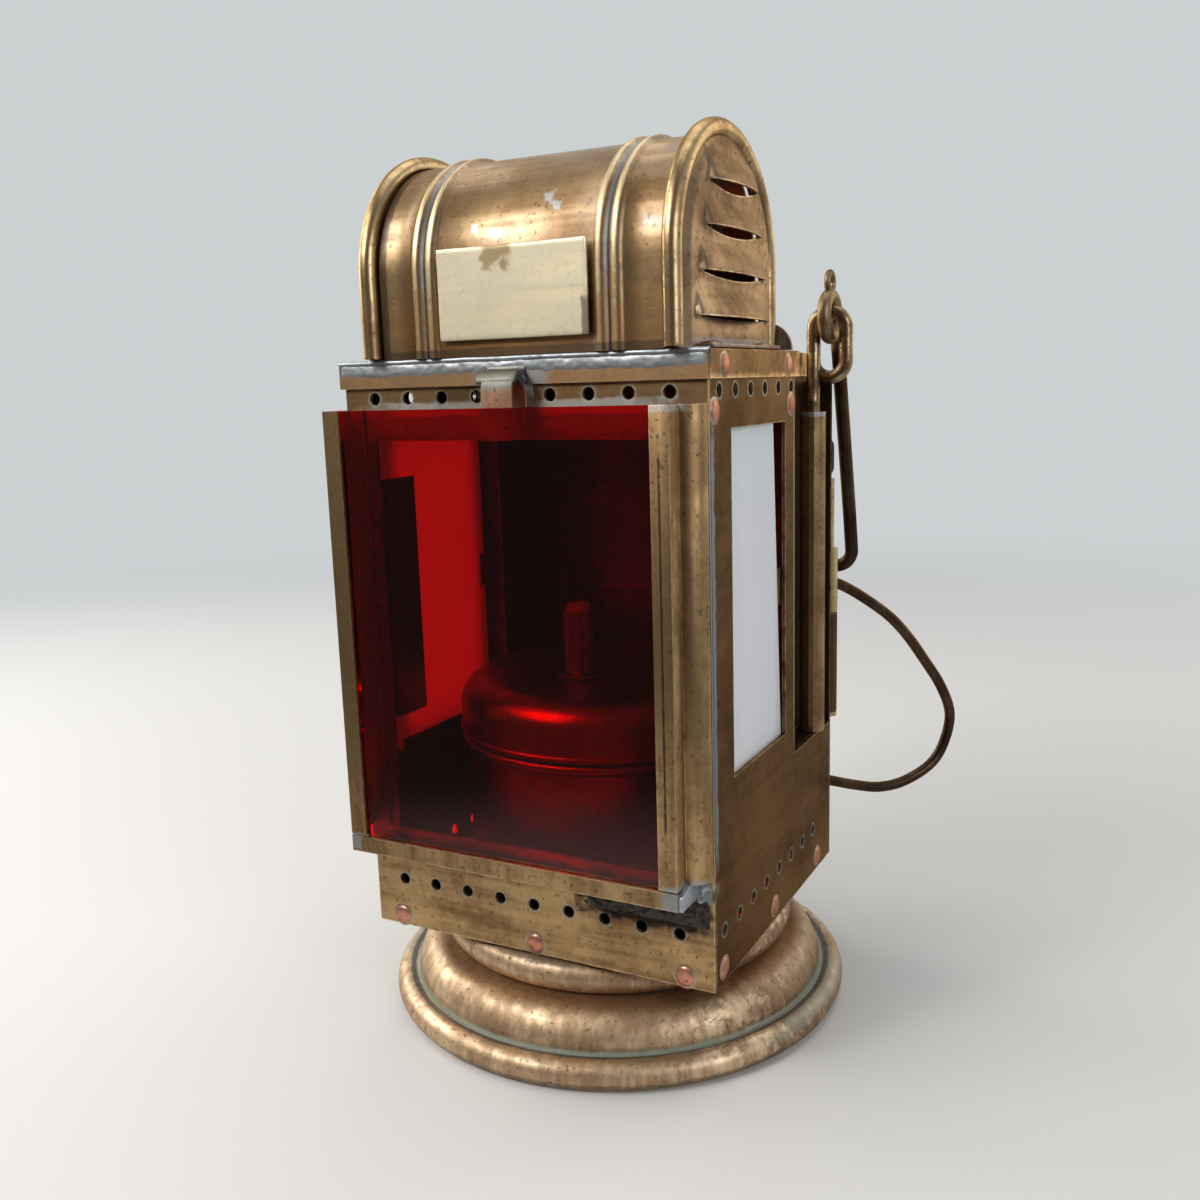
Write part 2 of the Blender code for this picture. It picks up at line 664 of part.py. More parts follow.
def make_body():
    make_front_sheet()
    make_rear_sheet()
    inset = SHEET + GAP
    floor = rectangle(-BODY_SIDE + inset, BODY_SIDE - inset, BODY_FRONT + inset, REAR_INNER - GAP)
    lying("floor_plate", [floor], FLOOR_THICKNESS, BODY_BOTTOM + FLOOR_THICKNESS / 2, BRASS)
    for side, word in ((-1, "left"), (1, "right")):
        make_side_sheet(side, "side_sheet_" + word)
        make_corner_recess(side, "corner_recess_" + word)


# Opal panes and what holds them
def pane_rear(side, height):
    """Rear edge of a pane at a height: the left one laps the window, the right one leans off it."""
    rear = BODY_FRONT + WINDOW_SETBACK + WINDOW_WIDTH
    if side < 0:
        return rear + PANE_LAP
    low = WINDOW_LOW - PANE_LAP
    share = (height - low) / (WINDOW_HIGH + PANE_LAP - low)
    return rear - RIGHT_PANE_LEAN * share


def make_pane(side, word):
    front = BODY_FRONT + WINDOW_SETBACK - PANE_LAP
    outer = BODY_SIDE - SHEET - GAP
    middle = outer - PANE_THICKNESS / 2
    low = WINDOW_LOW - PANE_LAP
    high = WINDOW_HIGH + PANE_LAP
    pane = [(front, low), (pane_rear(side, low), low), (pane_rear(side, high), high), (front, high)]
    along("opal_pane_" + word, [pane], PANE_THICKNESS, side * middle, OPAL_GLASS)
    make_pane_guide(side, word, front, outer - PANE_THICKNESS)
    make_pane_clip(side, word, outer - PANE_THICKNESS)


def make_pane_guide(side, word, edge_y, pane_inner):
    """A folded strip over the pane's front edge, with a foot under the pane."""
    back = pane_inner - GAP - THIN_SHEET / 2
    fold = edge_y - GAP - THIN_SHEET / 2
    outer = BODY_SIDE - SHEET - GAP
    low = BODY_BOTTOM + PANE_GUIDE_RISE
    path = [(side * outer, fold), (side * back, fold), (side * back, fold + PANE_GUIDE_WIDTH)]
    bent_sheet("pane_guide_" + word, path, low, low + PANE_GUIDE_LENGTH, THIN_SHEET, BRASS)
    ledge_top = WINDOW_LOW - PANE_LAP - GAP
    inner = pane_inner - GAP - THIN_SHEET
    ledge = [(side * outer, ledge_top - THIN_SHEET / 2), (side * inner, ledge_top - THIN_SHEET / 2),
             (side * inner, ledge_top + PANE_LAP)]
    make_pane_ledge(side, word, ledge, edge_y)


def make_pane_ledge(side, word, profile, front):
    """An angle strip that the pane stands in, from front to the window's far edge."""
    depth = WINDOW_WIDTH + 2 * PANE_LAP
    item = bent_sheet("pane_ledge_" + word, profile, -depth / 2, depth / 2, THIN_SHEET, BRASS)
    item.matrix_world = Matrix.Translation((0, front + depth / 2, 0)) @ FACING_Y.to_4x4()
    return item


def make_pane_clip(side, word, pane_inner):
    """A strap from the side sheet, bent round the pane's rear edge and over its inner face."""
    low = BODY_BOTTOM + PANE_CLIP_RISE
    back = pane_inner - GAP - THIN_SHEET / 2
    fold = pane_rear(side, low) + GAP + THIN_SHEET / 2
    outer = BODY_SIDE - SHEET - GAP - THIN_SHEET / 2
    foot = NOTCH_Y - SHEET - PANE_CLIP_CLEARANCE
    path = [(side * outer, foot), (side * outer, fold), (side * back, fold),
            (side * back, fold - PANE_CLIP_WIDTH)]
    bent_sheet("pane_clip_" + word, path, low, low + PANE_CLIP_LENGTH, THIN_SHEET, BRASS)


# Cap
def cap_outline(reach):
    """The body's plan, grown by reach."""
    side = BODY_SIDE + reach
    neck = NOTCH_X + reach
    front = BODY_FRONT - reach
    step = NOTCH_Y + reach
    rear = BODY_REAR + reach
    return [(side, front), (side, step), (neck, step), (neck, rear), (-neck, rear), (-neck, step),
            (-side, step), (-side, front)]


def make_cap():
    bottom = CAP_TOP - CAP_HEIGHT
    cap = lying("cap", [cap_outline(CAP_REACH)], CAP_HEIGHT, (bottom + CAP_TOP) / 2, BRASS)
    room_low = bottom - OVERRUN
    room_high = CAP_TOP - CAP_SHEET
    room = lying("cap_room", [cap_outline(GAP)], room_high - room_low, (room_low + room_high) / 2)
    vent = lying("cap_vent", [rounded_rectangle(DOME_OFFSET_X - CAP_VENT_WIDTH / 2,
                                                DOME_OFFSET_X + CAP_VENT_WIDTH / 2,
                                                DOME_CENTRE_Y - CAP_VENT_DEPTH / 2,
                                                DOME_CENTRE_Y + CAP_VENT_DEPTH / 2,
                                                CAP_VENT_DEPTH / 4)],
                 2 * CAP_HEIGHT, CAP_TOP)
    cut(cap, room)
    cut(cap, vent)


# Barrel roof
def barrel_profile():
    """Places along the roof's length and the height of the sheet there, with two pairs of beads."""
    places = [(-DOME_HALF_LENGTH, 0)]
    for start in (-DOME_BEAD_PAIR_OUTER, DOME_BEAD_PAIR_OUTER - 2 * DOME_BEAD_WIDTH):
        for bead in range(2):
            first = start + bead * DOME_BEAD_WIDTH
            for i in range(4):
                share = i / 4
                places.append((first + share * DOME_BEAD_WIDTH,
                               DOME_BEAD_HEIGHT * math.sin(math.pi * share)))
        places.append((start + 2 * DOME_BEAD_WIDTH, 0))
    places.append((DOME_HALF_LENGTH, 0))
    return places


def make_barrel():
    """The profile swept over a half turn about the roof's axis, then drawn down to the cap."""
    shape = bmesh.new()
    line = [shape.verts.new((x, -DOME_RADIUS - rise, 0)) for x, rise in barrel_profile()]
    edges = [shape.edges.new((line[i], line[i + 1])) for i in range(len(line) - 1)]
    swept = bmesh.ops.spin(shape, geom=line + edges, cent=(0, 0, 0), axis=(-1, 0, 0), angle=math.pi,
                           steps=ARCH_STEPS)
    last = [item for item in swept["geom_last"] if isinstance(item, bmesh.types.BMEdge)]
    for chain in (edges, last):
        drawn = bmesh.ops.extrude_edge_only(shape, edges=chain)
        low = [item for item in drawn["geom"] if isinstance(item, bmesh.types.BMVert)]
        bmesh.ops.translate(shape, vec=(0, 0, -DOME_WALL_HEIGHT), verts=low)
    bmesh.ops.remove_doubles(shape, verts=shape.verts, dist=WELD_DISTANCE)
    bmesh.ops.recalc_face_normals(shape, faces=shape.faces)
    mesh = bpy.data.meshes.new("dome_barrel")
    shape.to_mesh(mesh)
    shape.free()
    item = link_object("dome_barrel", mesh, BRASS)
    item.location = (DOME_OFFSET_X, DOME_CENTRE_Y, DOME_SPRING)
    wall = item.modifiers.new("thickness", "SOLIDIFY")
    wall.thickness = SHEET
    wall.offset = -1
    smooth(item)


def arch_outline(radius, steps=ARCH_STEPS):
    """The roof's end seen along X, as (y, z) points about its centre line."""
    low = GAP - DOME_WALL_HEIGHT
    return [(radius, low)] + arc(0, 0, radius, 0, math.pi, steps) + [(-radius, low)]


def louvre_sizes():
    """Width and slit height of each louvre, from the top one down."""
    sizes = []
    for i in range(LOUVRE_COUNT):
        sizes.append((LOUVRE_TOP_WIDTH + i * LOUVRE_WIDTH_STEP,
                      DOME_RADIUS - LOUVRE_TOP_DROP - i * LOUVRE_PITCH))
    return sizes


def trim(shape, place, outward):
    """Takes away what lies beyond a plane and closes the shape there."""
    geometry = shape.verts[:] + shape.edges[:] + shape.faces[:]
    cutting = bmesh.ops.bisect_plane(shape, geom=geometry, plane_co=place, plane_no=outward,
                                     clear_outer=True)
    rim = [item for item in cutting["geom_cut"] if isinstance(item, bmesh.types.BMEdge)]
    bmesh.ops.contextual_create(shape, geom=rim)


def louvre_shape(name, reach, width, height, sag, back):
    """An ellipsoid flattened by sag below its middle, and cut off at back behind its middle."""
    shape = bmesh.new()
    bmesh.ops.create_uvsphere(shape, u_segments=14, v_segments=9, radius=1)
    bmesh.ops.transform(shape, matrix=Matrix.Diagonal((reach, width, height, 1)), verts=shape.verts)
    if sag:
        for point in shape.verts:
            if point.co.z < 0:
                point.co.z *= sag
    else:
        trim(shape, (0, 0, 0), (0, 0, -1))
    trim(shape, (-back, 0, 0), (-1, 0, 0))
    bmesh.ops.recalc_face_normals(shape, faces=shape.faces)
    mesh = bpy.data.meshes.new(name)
    shape.to_mesh(mesh)
    shape.free()
    return link_object(name, mesh)


def end_plate(name):
    """An arched plate with its middle raised, drawn in the XZ plane of its own frame."""
    shape = bmesh.new()
    outline = arch_outline(DOME_END_RADIUS)
    corners = [shape.verts.new((0, y, z)) for y, z in outline]
    face = shape.faces.new(corners)
    bmesh.ops.recalc_face_normals(shape, faces=[face])
    if face.normal.x < 0:
        bmesh.ops.reverse_faces(shape, faces=[face])
    bmesh.ops.inset_region(shape, faces=[face], thickness=DOME_PANEL_INSET, use_even_offset=True)
    bmesh.ops.translate(shape, vec=(DOME_PANEL_RAISE, 0, 0), verts=face.verts)
    mesh = bpy.data.meshes.new(name)
    shape.to_mesh(mesh)
    shape.free()
    item = link_object(name, mesh, BRASS)
    wall = item.modifiers.new("thickness", "SOLIDIFY")
    wall.thickness = SHEET
    wall.offset = -1
    return item


def make_dome_end(side, word):
    """End plate with its wired rim, folded foot and four pressed louvres."""
    name = "dome_end_" + word
    rim_x = DOME_HALF_LENGTH + GAP + DOME_RIM_RADIUS
    plate_x = rim_x + DOME_RIM_RADIUS / 2
    plate = end_plate(name)
    turn = Matrix.Rotation(0 if side > 0 else math.pi, 4, "Z")
    place = Matrix.Translation((DOME_OFFSET_X, DOME_CENTRE_Y, DOME_SPRING)) @ turn
    plate.matrix_world = place @ Matrix.Translation((plate_x, 0, 0))
    rim = wire(name + "_rim", [(rim_x, y, z) for y, z in arch_outline(DOME_END_RADIUS)],
               DOME_RIM_RADIUS, sides=WIRE_SIDES)
    rim.matrix_world = place
    join(plate, rim)
    half_depth = DOME_RADIUS - DOME_FOOT_INSET
    foot = box(name + "_foot", (plate_x - SHEET / 2, -half_depth, -DOME_WALL_HEIGHT),
               (plate_x + DOME_FOOT_WIDTH, half_depth, SHEET - DOME_WALL_HEIGHT))
    foot.matrix_world = place
    join(plate, foot)
    face_x = plate_x + DOME_PANEL_RAISE
    for i, (width, height) in enumerate(louvre_sizes()):
        hood = louvre_shape(f"{name}_hood_{i}", LOUVRE_REACH, width / 2, LOUVRE_HEIGHT, 0, SHEET / 4)
        hood.matrix_world = place @ Matrix.Translation((face_x - SHEET / 2, 0, height))
        join(plate, hood)
    for i, (width, height) in enumerate(louvre_sizes()):
        slot = louvre_shape(f"{name}_slot_{i}", LOUVRE_REACH - SHEET * LOUVRE_WALL_SHARE,
                            width / 2 - SHEET, LOUVRE_HEIGHT - SHEET, LOUVRE_SAG_SHARE, SHEET)
        slot.matrix_world = place @ Matrix.Translation((face_x - SHEET / 2, 0, height))
        cut(plate, slot)
    weld = plate.modifiers.new("weld", "WELD")
    weld.merge_threshold = WELD_DISTANCE


def make_dome_ear(side, word):
    """Half-round tinned ear on the cap, behind the end of the roof."""
    y = DOME_CENTRE_Y + DOME_END_RADIUS + DOME_RIM_RADIUS + GAP + SHEET / 2
    outline = arc(side * DOME_EAR_OFFSET, DOME_BASE, DOME_EAR_RADIUS, 0, math.pi, 14)
    across("dome_ear_" + word, [outline], SHEET, y, SOLDERED)


def make_number_plate():
    front = DOME_CENTRE_Y - DOME_RADIUS - GAP
    low = DOME_BASE + PLATE_RISE
    outline = rounded_rectangle(DOME_OFFSET_X - PLATE_WIDTH / 2, DOME_OFFSET_X + PLATE_WIDTH / 2,
                                low, low + PLATE_HEIGHT, PLATE_CORNER)
    across("number_plate", [outline], PLATE_THICKNESS, front - PLATE_THICKNESS / 2, BRIGHT_BRASS)


def make_dome():
    make_barrel()
    make_number_plate()
    for side, word in ((-1, "left"), (1, "right")):
        make_dome_end(side, word)
        make_dome_ear(side, word)


# Channel frame, red glass and spring tongue
def make_frame():
    lip_y = FRAME_FRONT + FRAME_SHEET / 2
    base_y = BODY_FRONT - GAP - FRAME_SHEET / 2
    low = FRAME_BOTTOM + FRAME_RAIL_HEIGHT + GAP
    right = FRAME_RIGHT - FRAME_SHEET / 2
    left = FRAME_LEFT + FRAME_SHEET / 2
    bead = arc(right, base_y, FRAME_BEAD_RADIUS, -math.pi / 2, 0, 5)
    right_path = [(FRAME_RIGHT - FRAME_LIP, lip_y), (right, lip_y)] + bead
    left_path = [(left + FRAME_FLANGE, base_y), (left, base_y), (left, lip_y), (FRAME_LEFT + FRAME_LIP, lip_y)]
    bent_sheet("frame_channel_right", right_path, low, FRAME_TOP, FRAME_SHEET, BRASS)
    bent_sheet("frame_channel_left", left_path, low, FRAME_TOP, FRAME_SHEET, BRASS)
    rail_top = FRAME_BOTTOM + FRAME_RAIL_HEIGHT
    middle = FRAME_BOTTOM + FRAME_SHEET / 2
    rail = bent_sheet("frame_rail", [(lip_y, rail_top), (lip_y, middle), (BODY_FRONT - GAP, middle)],
                      FRAME_LEFT, FRAME_RIGHT, FRAME_SHEET, BRASS)
    rail.matrix_world = FACING_X.to_4x4()


def make_red_glass():
    outline = rectangle(GLASS_LEFT, GLASS_RIGHT, GLASS_BOTTOM, FRAME_TOP)
    across("red_glass", [outline], GLASS_THICKNESS, (GLASS_FRONT + GLASS_BACK) / 2, RED_GLASS)


def make_tongue():
    """A strip soldered to the front sheet, arched out over the gap and down behind the glass."""
    base = BODY_FRONT - GAP - TONGUE_THICKNESS / 2
    touch = GLASS_BACK + GAP + TONGUE_THICKNESS / 2
    run = base - touch
    path = [(base, FRAME_TOP - TONGUE_SEAT)]
    path += [(base - run * out, FRAME_TOP + TONGUE_RISE * up) for out, up in TONGUE_ROUTE_SHARES]
    path.append((touch, FRAME_TOP - TONGUE_DROP))
    tongue = bent_sheet("spring_tongue", path, -TONGUE_WIDTH / 2, TONGUE_WIDTH / 2, TONGUE_THICKNESS, BRASS)
    tongue.matrix_world = FACING_X.to_4x4()


# Oil font
def make_font():
    """Open tank, lid with a domed top, wick tube with its collar, and the wick."""
    radius = FONT_RADIUS
    inner = radius - FONT_WALL
    bead = [(radius + u, FONT_TOP - FONT_RIM_BEAD + v)
            for u, v in arc(0, 0, FONT_RIM_BEAD, math.radians(90), math.radians(-90), 6)]
    tank = bead + [(radius, FONT_BOTTOM), (0, FONT_BOTTOM), (0, FONT_BOTTOM + FONT_WALL),
                   (inner, FONT_BOTTOM + FONT_WALL), (inner, FONT_TOP)]
    turned_solid("font_tank", bead_loop(tank), BRASS, steps=ROUND_STEPS)
    make_font_lid()
    make_wick()


def bead_loop(profile):
    """Starts a cup's profile at the axis inside, so that it runs to the axis underneath."""
    split = profile.index((0, FONT_BOTTOM))
    return profile[split + 1:] + profile[:split + 1]


def make_font_lid():
    shoulder = FONT_LID_RISE
    side_top = LID_BOTTOM + FONT_LID_SIDE
    outer = [(0, LID_TOP + FONT_LID_DOME)]
    outer += arc(FONT_LID_RADIUS - shoulder, side_top, shoulder, math.pi / 2, 0, 6)
    outer += [(FONT_LID_RADIUS, LID_BOTTOM), (FONT_LID_RADIUS - FONT_LID_WALL, LID_BOTTOM)]
    inner = arc(FONT_LID_RADIUS - shoulder, side_top, shoulder - FONT_LID_WALL, 0, math.pi / 2, 6)
    inner.append((0, LID_TOP + FONT_LID_DOME - FONT_LID_WALL))
    lid = turned_solid("font_lid", outer + inner, BRASS, steps=ROUND_STEPS)
    bore = cylinder("font_lid_bore", WICK_TUBE_RADIUS + GAP, (0, -WICK_TUBE_OFFSET, LID_BOTTOM),
                    (0, -WICK_TUBE_OFFSET, LID_TOP + WICK_TUBE_HEIGHT), steps=16)
    cut(lid, bore)


def lid_height(radius):
    """Height of the lid's domed top at a radius from the tank's axis."""
    edge = FONT_LID_RADIUS - FONT_LID_RISE
    return LID_TOP + FONT_LID_DOME * (1 - radius / edge)


def make_wick():
    seat = lid_height(WICK_TUBE_OFFSET - WICK_COLLAR_RADIUS) + GAP
    top = LID_TOP + WICK_TUBE_HEIGHT
    bottom = LID_BOTTOM + FONT_LID_WALL
    inner = WICK_TUBE_RADIUS - WICK_TUBE_WALL
    profile = [(WICK_TUBE_RADIUS, top), (WICK_TUBE_RADIUS, seat + WICK_COLLAR_HEIGHT),
               (WICK_COLLAR_RADIUS, seat + WICK_COLLAR_HEIGHT / 2), (WICK_COLLAR_RADIUS, seat),
               (WICK_TUBE_RADIUS, seat), (WICK_TUBE_RADIUS, bottom), (inner, bottom), (inner, top)]
    turned("wick_tube", profile, BRASS, (0, -WICK_TUBE_OFFSET, 0), steps=16)
    tip = top + WICK_PROUD
    cylinder("wick", inner - GAP, (0, -WICK_TUBE_OFFSET, tip - WICK_LENGTH), (0, -WICK_TUBE_OFFSET, tip),
             COTTON, 12)


# Corner tubes and eyes
def eye_points(steps=9):
    """Centre line of an upright oval eye in the XZ plane, about its own middle."""
    half = EYE_STRAIGHT / 2
    upper = arc(0, half, EYE_RADIUS, 0, math.pi, steps)
    lower = arc(0, -half, EYE_RADIUS, math.pi, 2 * math.pi, steps)
    return [(x, 0, z) for x, z in upper + lower]


def make_tube_and_eye(side, word):
    inner = TUBE_RADIUS - TUBE_WALL
    profile = [(TUBE_RADIUS, TUBE_TOP), (TUBE_RADIUS, TUBE_BOTTOM), (inner, TUBE_BOTTOM), (inner, TUBE_TOP)]
    turned("corner_tube_" + word, profile, BRASS, (side * TUBE_X, TUBE_Y, 0), steps=16)
    centre_z = PIVOT_Z - EYE_RADIUS - EYE_STRAIGHT / 2
    eye = wire("ring_eye_" + word, eye_points(), WIRE_RADIUS, DARK_WIRE, cyclic=True)
    eye.location = (side * EYE_X, EYE_Y, centre_z)
    inner_leg = EYE_X - EYE_RADIUS
    route = [(TUBE_X, TUBE_Y, TUBE_TOP - SHANK_DEPTH), (TUBE_X, TUBE_Y, TUBE_TOP + GAP),
             (TUBE_X, TUBE_Y, TUBE_TOP + WIRE_RADIUS * 2),
             ((TUBE_X + inner_leg) / 2, (TUBE_Y + EYE_Y) / 2, (TUBE_TOP + centre_z) / 2),
             (inner_leg, EYE_Y, centre_z - WIRE_RADIUS), (inner_leg, EYE_Y, centre_z + WIRE_RADIUS)]
    shank = wire("shank_" + word, smooth_path([(side * x, y, z) for x, y, z in route], 3),
                 min(WIRE_RADIUS, inner - GAP))
    join(eye, shank)


# Carrying bail
def bail_lean():
    """Lean of the hanging legs, which rest on the rear sheet's upper edge."""
    ring_z = PIVOT_Z - BAIL_RING_SLACK
    run = BODY_REAR - EYE_Y
    drop = ring_z - REAR_SHEET_TOP
    reach = math.hypot(run, drop)
    offset = BAIL_RING_RADIUS - WIRE_RADIUS - GAP
    return math.acos(offset / reach) - math.atan2(drop, run)


def bail_leg(lean, start_z):
    """Length of the legs, which end in a bar that hangs just above the folded grip."""
    bar_z = GRIP_TOP + GRIP_WIRE_RADIUS + BAIL_CLEARANCE + WIRE_RADIUS
    return (start_z - bar_z) / math.cos(lean)


def make_bail():
    """One wire: an eye at each end, straight legs and a lower bar with rounded corners."""
    lean = bail_lean()
    ring_z = PIVOT_Z - BAIL_RING_SLACK
    down = Vector((0, math.sin(lean), -math.cos(lean)))
    out = Vector((0, math.cos(lean), math.sin(lean)))
    start = Vector((0, EYE_Y, ring_z)) + out * BAIL_RING_RADIUS
    leg = bail_leg(lean, start.z)
    half = EYE_X + BAIL_FLARE
    points = [start + Vector((EYE_X, 0, 0))]
    quarter = math.pi / 2
    for i in range(7):
        angle = quarter * i / 6
        across_x = half - BAIL_CORNER * (1 - math.cos(angle))
        along_leg = leg - BAIL_CORNER + BAIL_CORNER * math.sin(angle)
        points.append(start + down * along_leg + Vector((across_x, 0, 0)))
    mirrored = [Vector((-point.x, point.y, point.z)) for point in reversed(points)]
    bail = wire("bail", points + mirrored, WIRE_RADIUS, DARK_WIRE)
    for side in (-1, 1):
        ring_points = [(0, u, v) for u, v in circle(0, 0, BAIL_RING_RADIUS, 20)]
        ring = wire(f"bail_ring_{side}", ring_points, WIRE_RADIUS, cyclic=True)
        ring.location = (side * EYE_X, EYE_Y, ring_z)
        join(bail, ring)
    tip_z = ring_z + BAIL_RING_RADIUS + WIRE_RADIUS + BAIL_TIP_RADIUS - BAIL_TIP_WIRE
    tip = wire("bail_tip", [(0, u, v) for u, v in circle(0, 0, BAIL_TIP_RADIUS, 16)], BAIL_TIP_WIRE,
               cyclic=True, sides=8)
    tip.location = (EYE_X, EYE_Y, tip_z)
    join(bail, tip)


# Door, hinge and grip
def make_door():
    left = -DOOR_OPENING_WIDTH / 2 - DOOR_LAP
    right = DOOR_OPENING_WIDTH / 2 + DOOR_HINGE_LAP
    knuckle_top = DOOR_KNUCKLE_Z + DOOR_KNUCKLE_LENGTH
    outline = [(left, DOOR_BOTTOM), (right, DOOR_BOTTOM), (right, DOOR_KNUCKLE_Z), (HINGE_X, DOOR_KNUCKLE_Z),
               (HINGE_X, knuckle_top), (right, knuckle_top), (right, DOOR_TOP), (left, DOOR_TOP)]
    door = across("door", [outline], DOOR_SHEET, (DOOR_INNER + DOOR_OUTER) / 2, BRASS)
    knuckle = cylinder("door_knuckle", HINGE_RADIUS, (HINGE_X, HINGE_Y, DOOR_KNUCKLE_Z),
                       (HINGE_X, HINGE_Y, knuckle_top), steps=20)
    join(door, knuckle)
    sleeve_z = (GRIP_TOP - GRIP_HEIGHT * GRIP_UPPER_SLEEVE_SHARE - GRIP_SLEEVE_LENGTH,
                GRIP_BOTTOM + GRIP_HEIGHT * GRIP_LOWER_SLEEVE_SHARE)
    for i, low in enumerate(sleeve_z):
        sleeve = cylinder(f"grip_sleeve_{i}", GRIP_SLEEVE_RADIUS, (GRIP_X, GRIP_Y, low),
                          (GRIP_X, GRIP_Y, low + GRIP_SLEEVE_LENGTH), steps=16)
        join(door, sleeve)
    pin_room = cylinder("door_knuckle_bore", HINGE_BORE_RADIUS, (HINGE_X, HINGE_Y, DOOR_KNUCKLE_Z - OVERRUN),
                        (HINGE_X, HINGE_Y, knuckle_top + OVERRUN), steps=16)
    cut(door, pin_room)
    for i, low in enumerate(sleeve_z):
        bore = cylinder(f"grip_bore_{i}", GRIP_WIRE_RADIUS + GRIP_SLEEVE_CLEARANCE,
                        (GRIP_X, GRIP_Y, low - OVERRUN), (GRIP_X, GRIP_Y, low + GRIP_SLEEVE_LENGTH + OVERRUN),
                        steps=16)
        cut(door, bore)


def make_hinge():
    """Fixed leaf with its knuckle above the door's, the long pin, and the tab over the pin."""
    leaf_low = DOOR_TOP + GAP
    leaf_high = BODY_KNUCKLE_Z + BODY_KNUCKLE_LENGTH
    leaf = box("hinge_leaf", (HINGE_X - HINGE_LEAF_WIDTH, DOOR_INNER, leaf_low),
               (HINGE_X, DOOR_OUTER, leaf_high), BRASS)
    knuckle = cylinder("hinge_leaf_knuckle", HINGE_RADIUS, (HINGE_X, HINGE_Y, BODY_KNUCKLE_Z),
                       (HINGE_X, HINGE_Y, leaf_high - GAP), steps=20)
    bore = cylinder("hinge_leaf_bore", HINGE_BORE_RADIUS, (HINGE_X, HINGE_Y, BODY_KNUCKLE_Z - OVERRUN),
                    (HINGE_X, HINGE_Y, leaf_high + OVERRUN), steps=16)
    join(leaf, knuckle)
    cut(leaf, bore)
    pin_low = DOOR_KNUCKLE_Z - HINGE_PIN_DROP
    pin_high = pin_low + HINGE_PIN_LENGTH
    head = HINGE_RADIUS
    pin = [(0, pin_high), (HINGE_PIN_RADIUS, pin_high), (HINGE_PIN_RADIUS, DOOR_KNUCKLE_Z - GAP),
           (head, DOOR_KNUCKLE_Z - GAP), (head, pin_low), (0, pin_low)]
    turned_solid("hinge_pin", pin, BRIGHT_BRASS, (HINGE_X, HINGE_Y, 0), steps=16)
    tab_low = pin_high + GAP
    tab = rounded_rectangle(HINGE_X - PIN_TAB_WIDTH + HINGE_INSET_X, HINGE_X + HINGE_INSET_X, tab_low,
                            tab_low + PIN_TAB_HEIGHT, PIN_TAB_WIDTH / 2 - GAP)
    across("pin_tab", [tab], DOOR_SHEET * 2, DOOR_INNER + DOOR_SHEET, SOLDERED)


def make_door_fittings():
    """Turned knob outside, and the leaf spring inside that grips the opening's edge."""
    knob_x = -DOOR_OPENING_WIDTH / 2 + KNOB_INSET
    knob_z = (DOOR_TOP + DOOR_BOTTOM) / 2
    profile = [(KNOB_RADIUS * out, KNOB_REACH * up) for out, up in KNOB_PROFILE_SHARES]
    knob = turned_solid("door_knob", profile, BRASS, (knob_x, DOOR_OUTER + GAP, knob_z), steps=20)
    knob.rotation_euler = (math.radians(-90), 0, 0)
    make_door_spring()


def make_door_spring():
    """Leaf spring bent to a rounded crest that passes just inside the opening's edge."""
    edge = -DOOR_OPENING_WIDTH / 2 + SHEET
    seat = DOOR_INNER - GAP - DOOR_SPRING_THICKNESS / 2
    path = [(edge + DOOR_SPRING_WIDTH * along_share, seat - DOOR_SPRING_REACH * reach_share)
            for along_share, reach_share in DOOR_SPRING_ROUTE_SHARES]
    middle = DOOR_BOTTOM + DOOR_SPRING_RISE
    bent_sheet("door_spring", path, middle - DOOR_SPRING_LENGTH / 2, middle + DOOR_SPRING_LENGTH / 2,
               DOOR_SPRING_THICKNESS, BRASS)


def make_grip():
    """Bent wire grip, its ends turned into the two sleeves on the door."""
    heading = Vector((math.cos(GRIP_TURN), math.sin(GRIP_TURN), 0))
    route = [heading * (share * GRIP_REACH) + Vector((0, 0, GRIP_BOTTOM + rise * GRIP_HEIGHT))
             for share, rise in GRIP_ROUTE_SHARES]
    grip = wire("grip", smooth_path(route, 2), GRIP_WIRE_RADIUS, DARK_WIRE, sides=10)
    grip.location = (GRIP_X, GRIP_Y, 0)


make_foot()
make_body()
for pane_side, pane_word in ((-1, "left"), (1, "right")):
    make_pane(pane_side, pane_word)
make_cap()
make_dome()
make_frame()
make_red_glass()
make_tongue()
make_font()
for tube_side, tube_word in ((-1, "left"), (1, "right")):
    make_tube_and_eye(tube_side, tube_word)
make_bail()
make_door()
make_hinge()
make_door_fittings()
make_grip()
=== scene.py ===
# %% [markdown]
# # A railway signal hand lamp, dressed for its picture
# The lamp is an old brass hand lamp: a square body of sheet brass on a spun foot, a barrel
# roof with louvred ends, a red glass in a channel frame, opal panes in the sides, and thick
# wire for the bail and the grip. Its solids come ready made. This notebook gives them their
# finish, and replaces the ones that need softer curves than flat facets can show.
# Everything is in metres with +Z up, in the same frame as the solids.

import math

import bpy
from mathutils import Euler, Matrix, Vector, noise


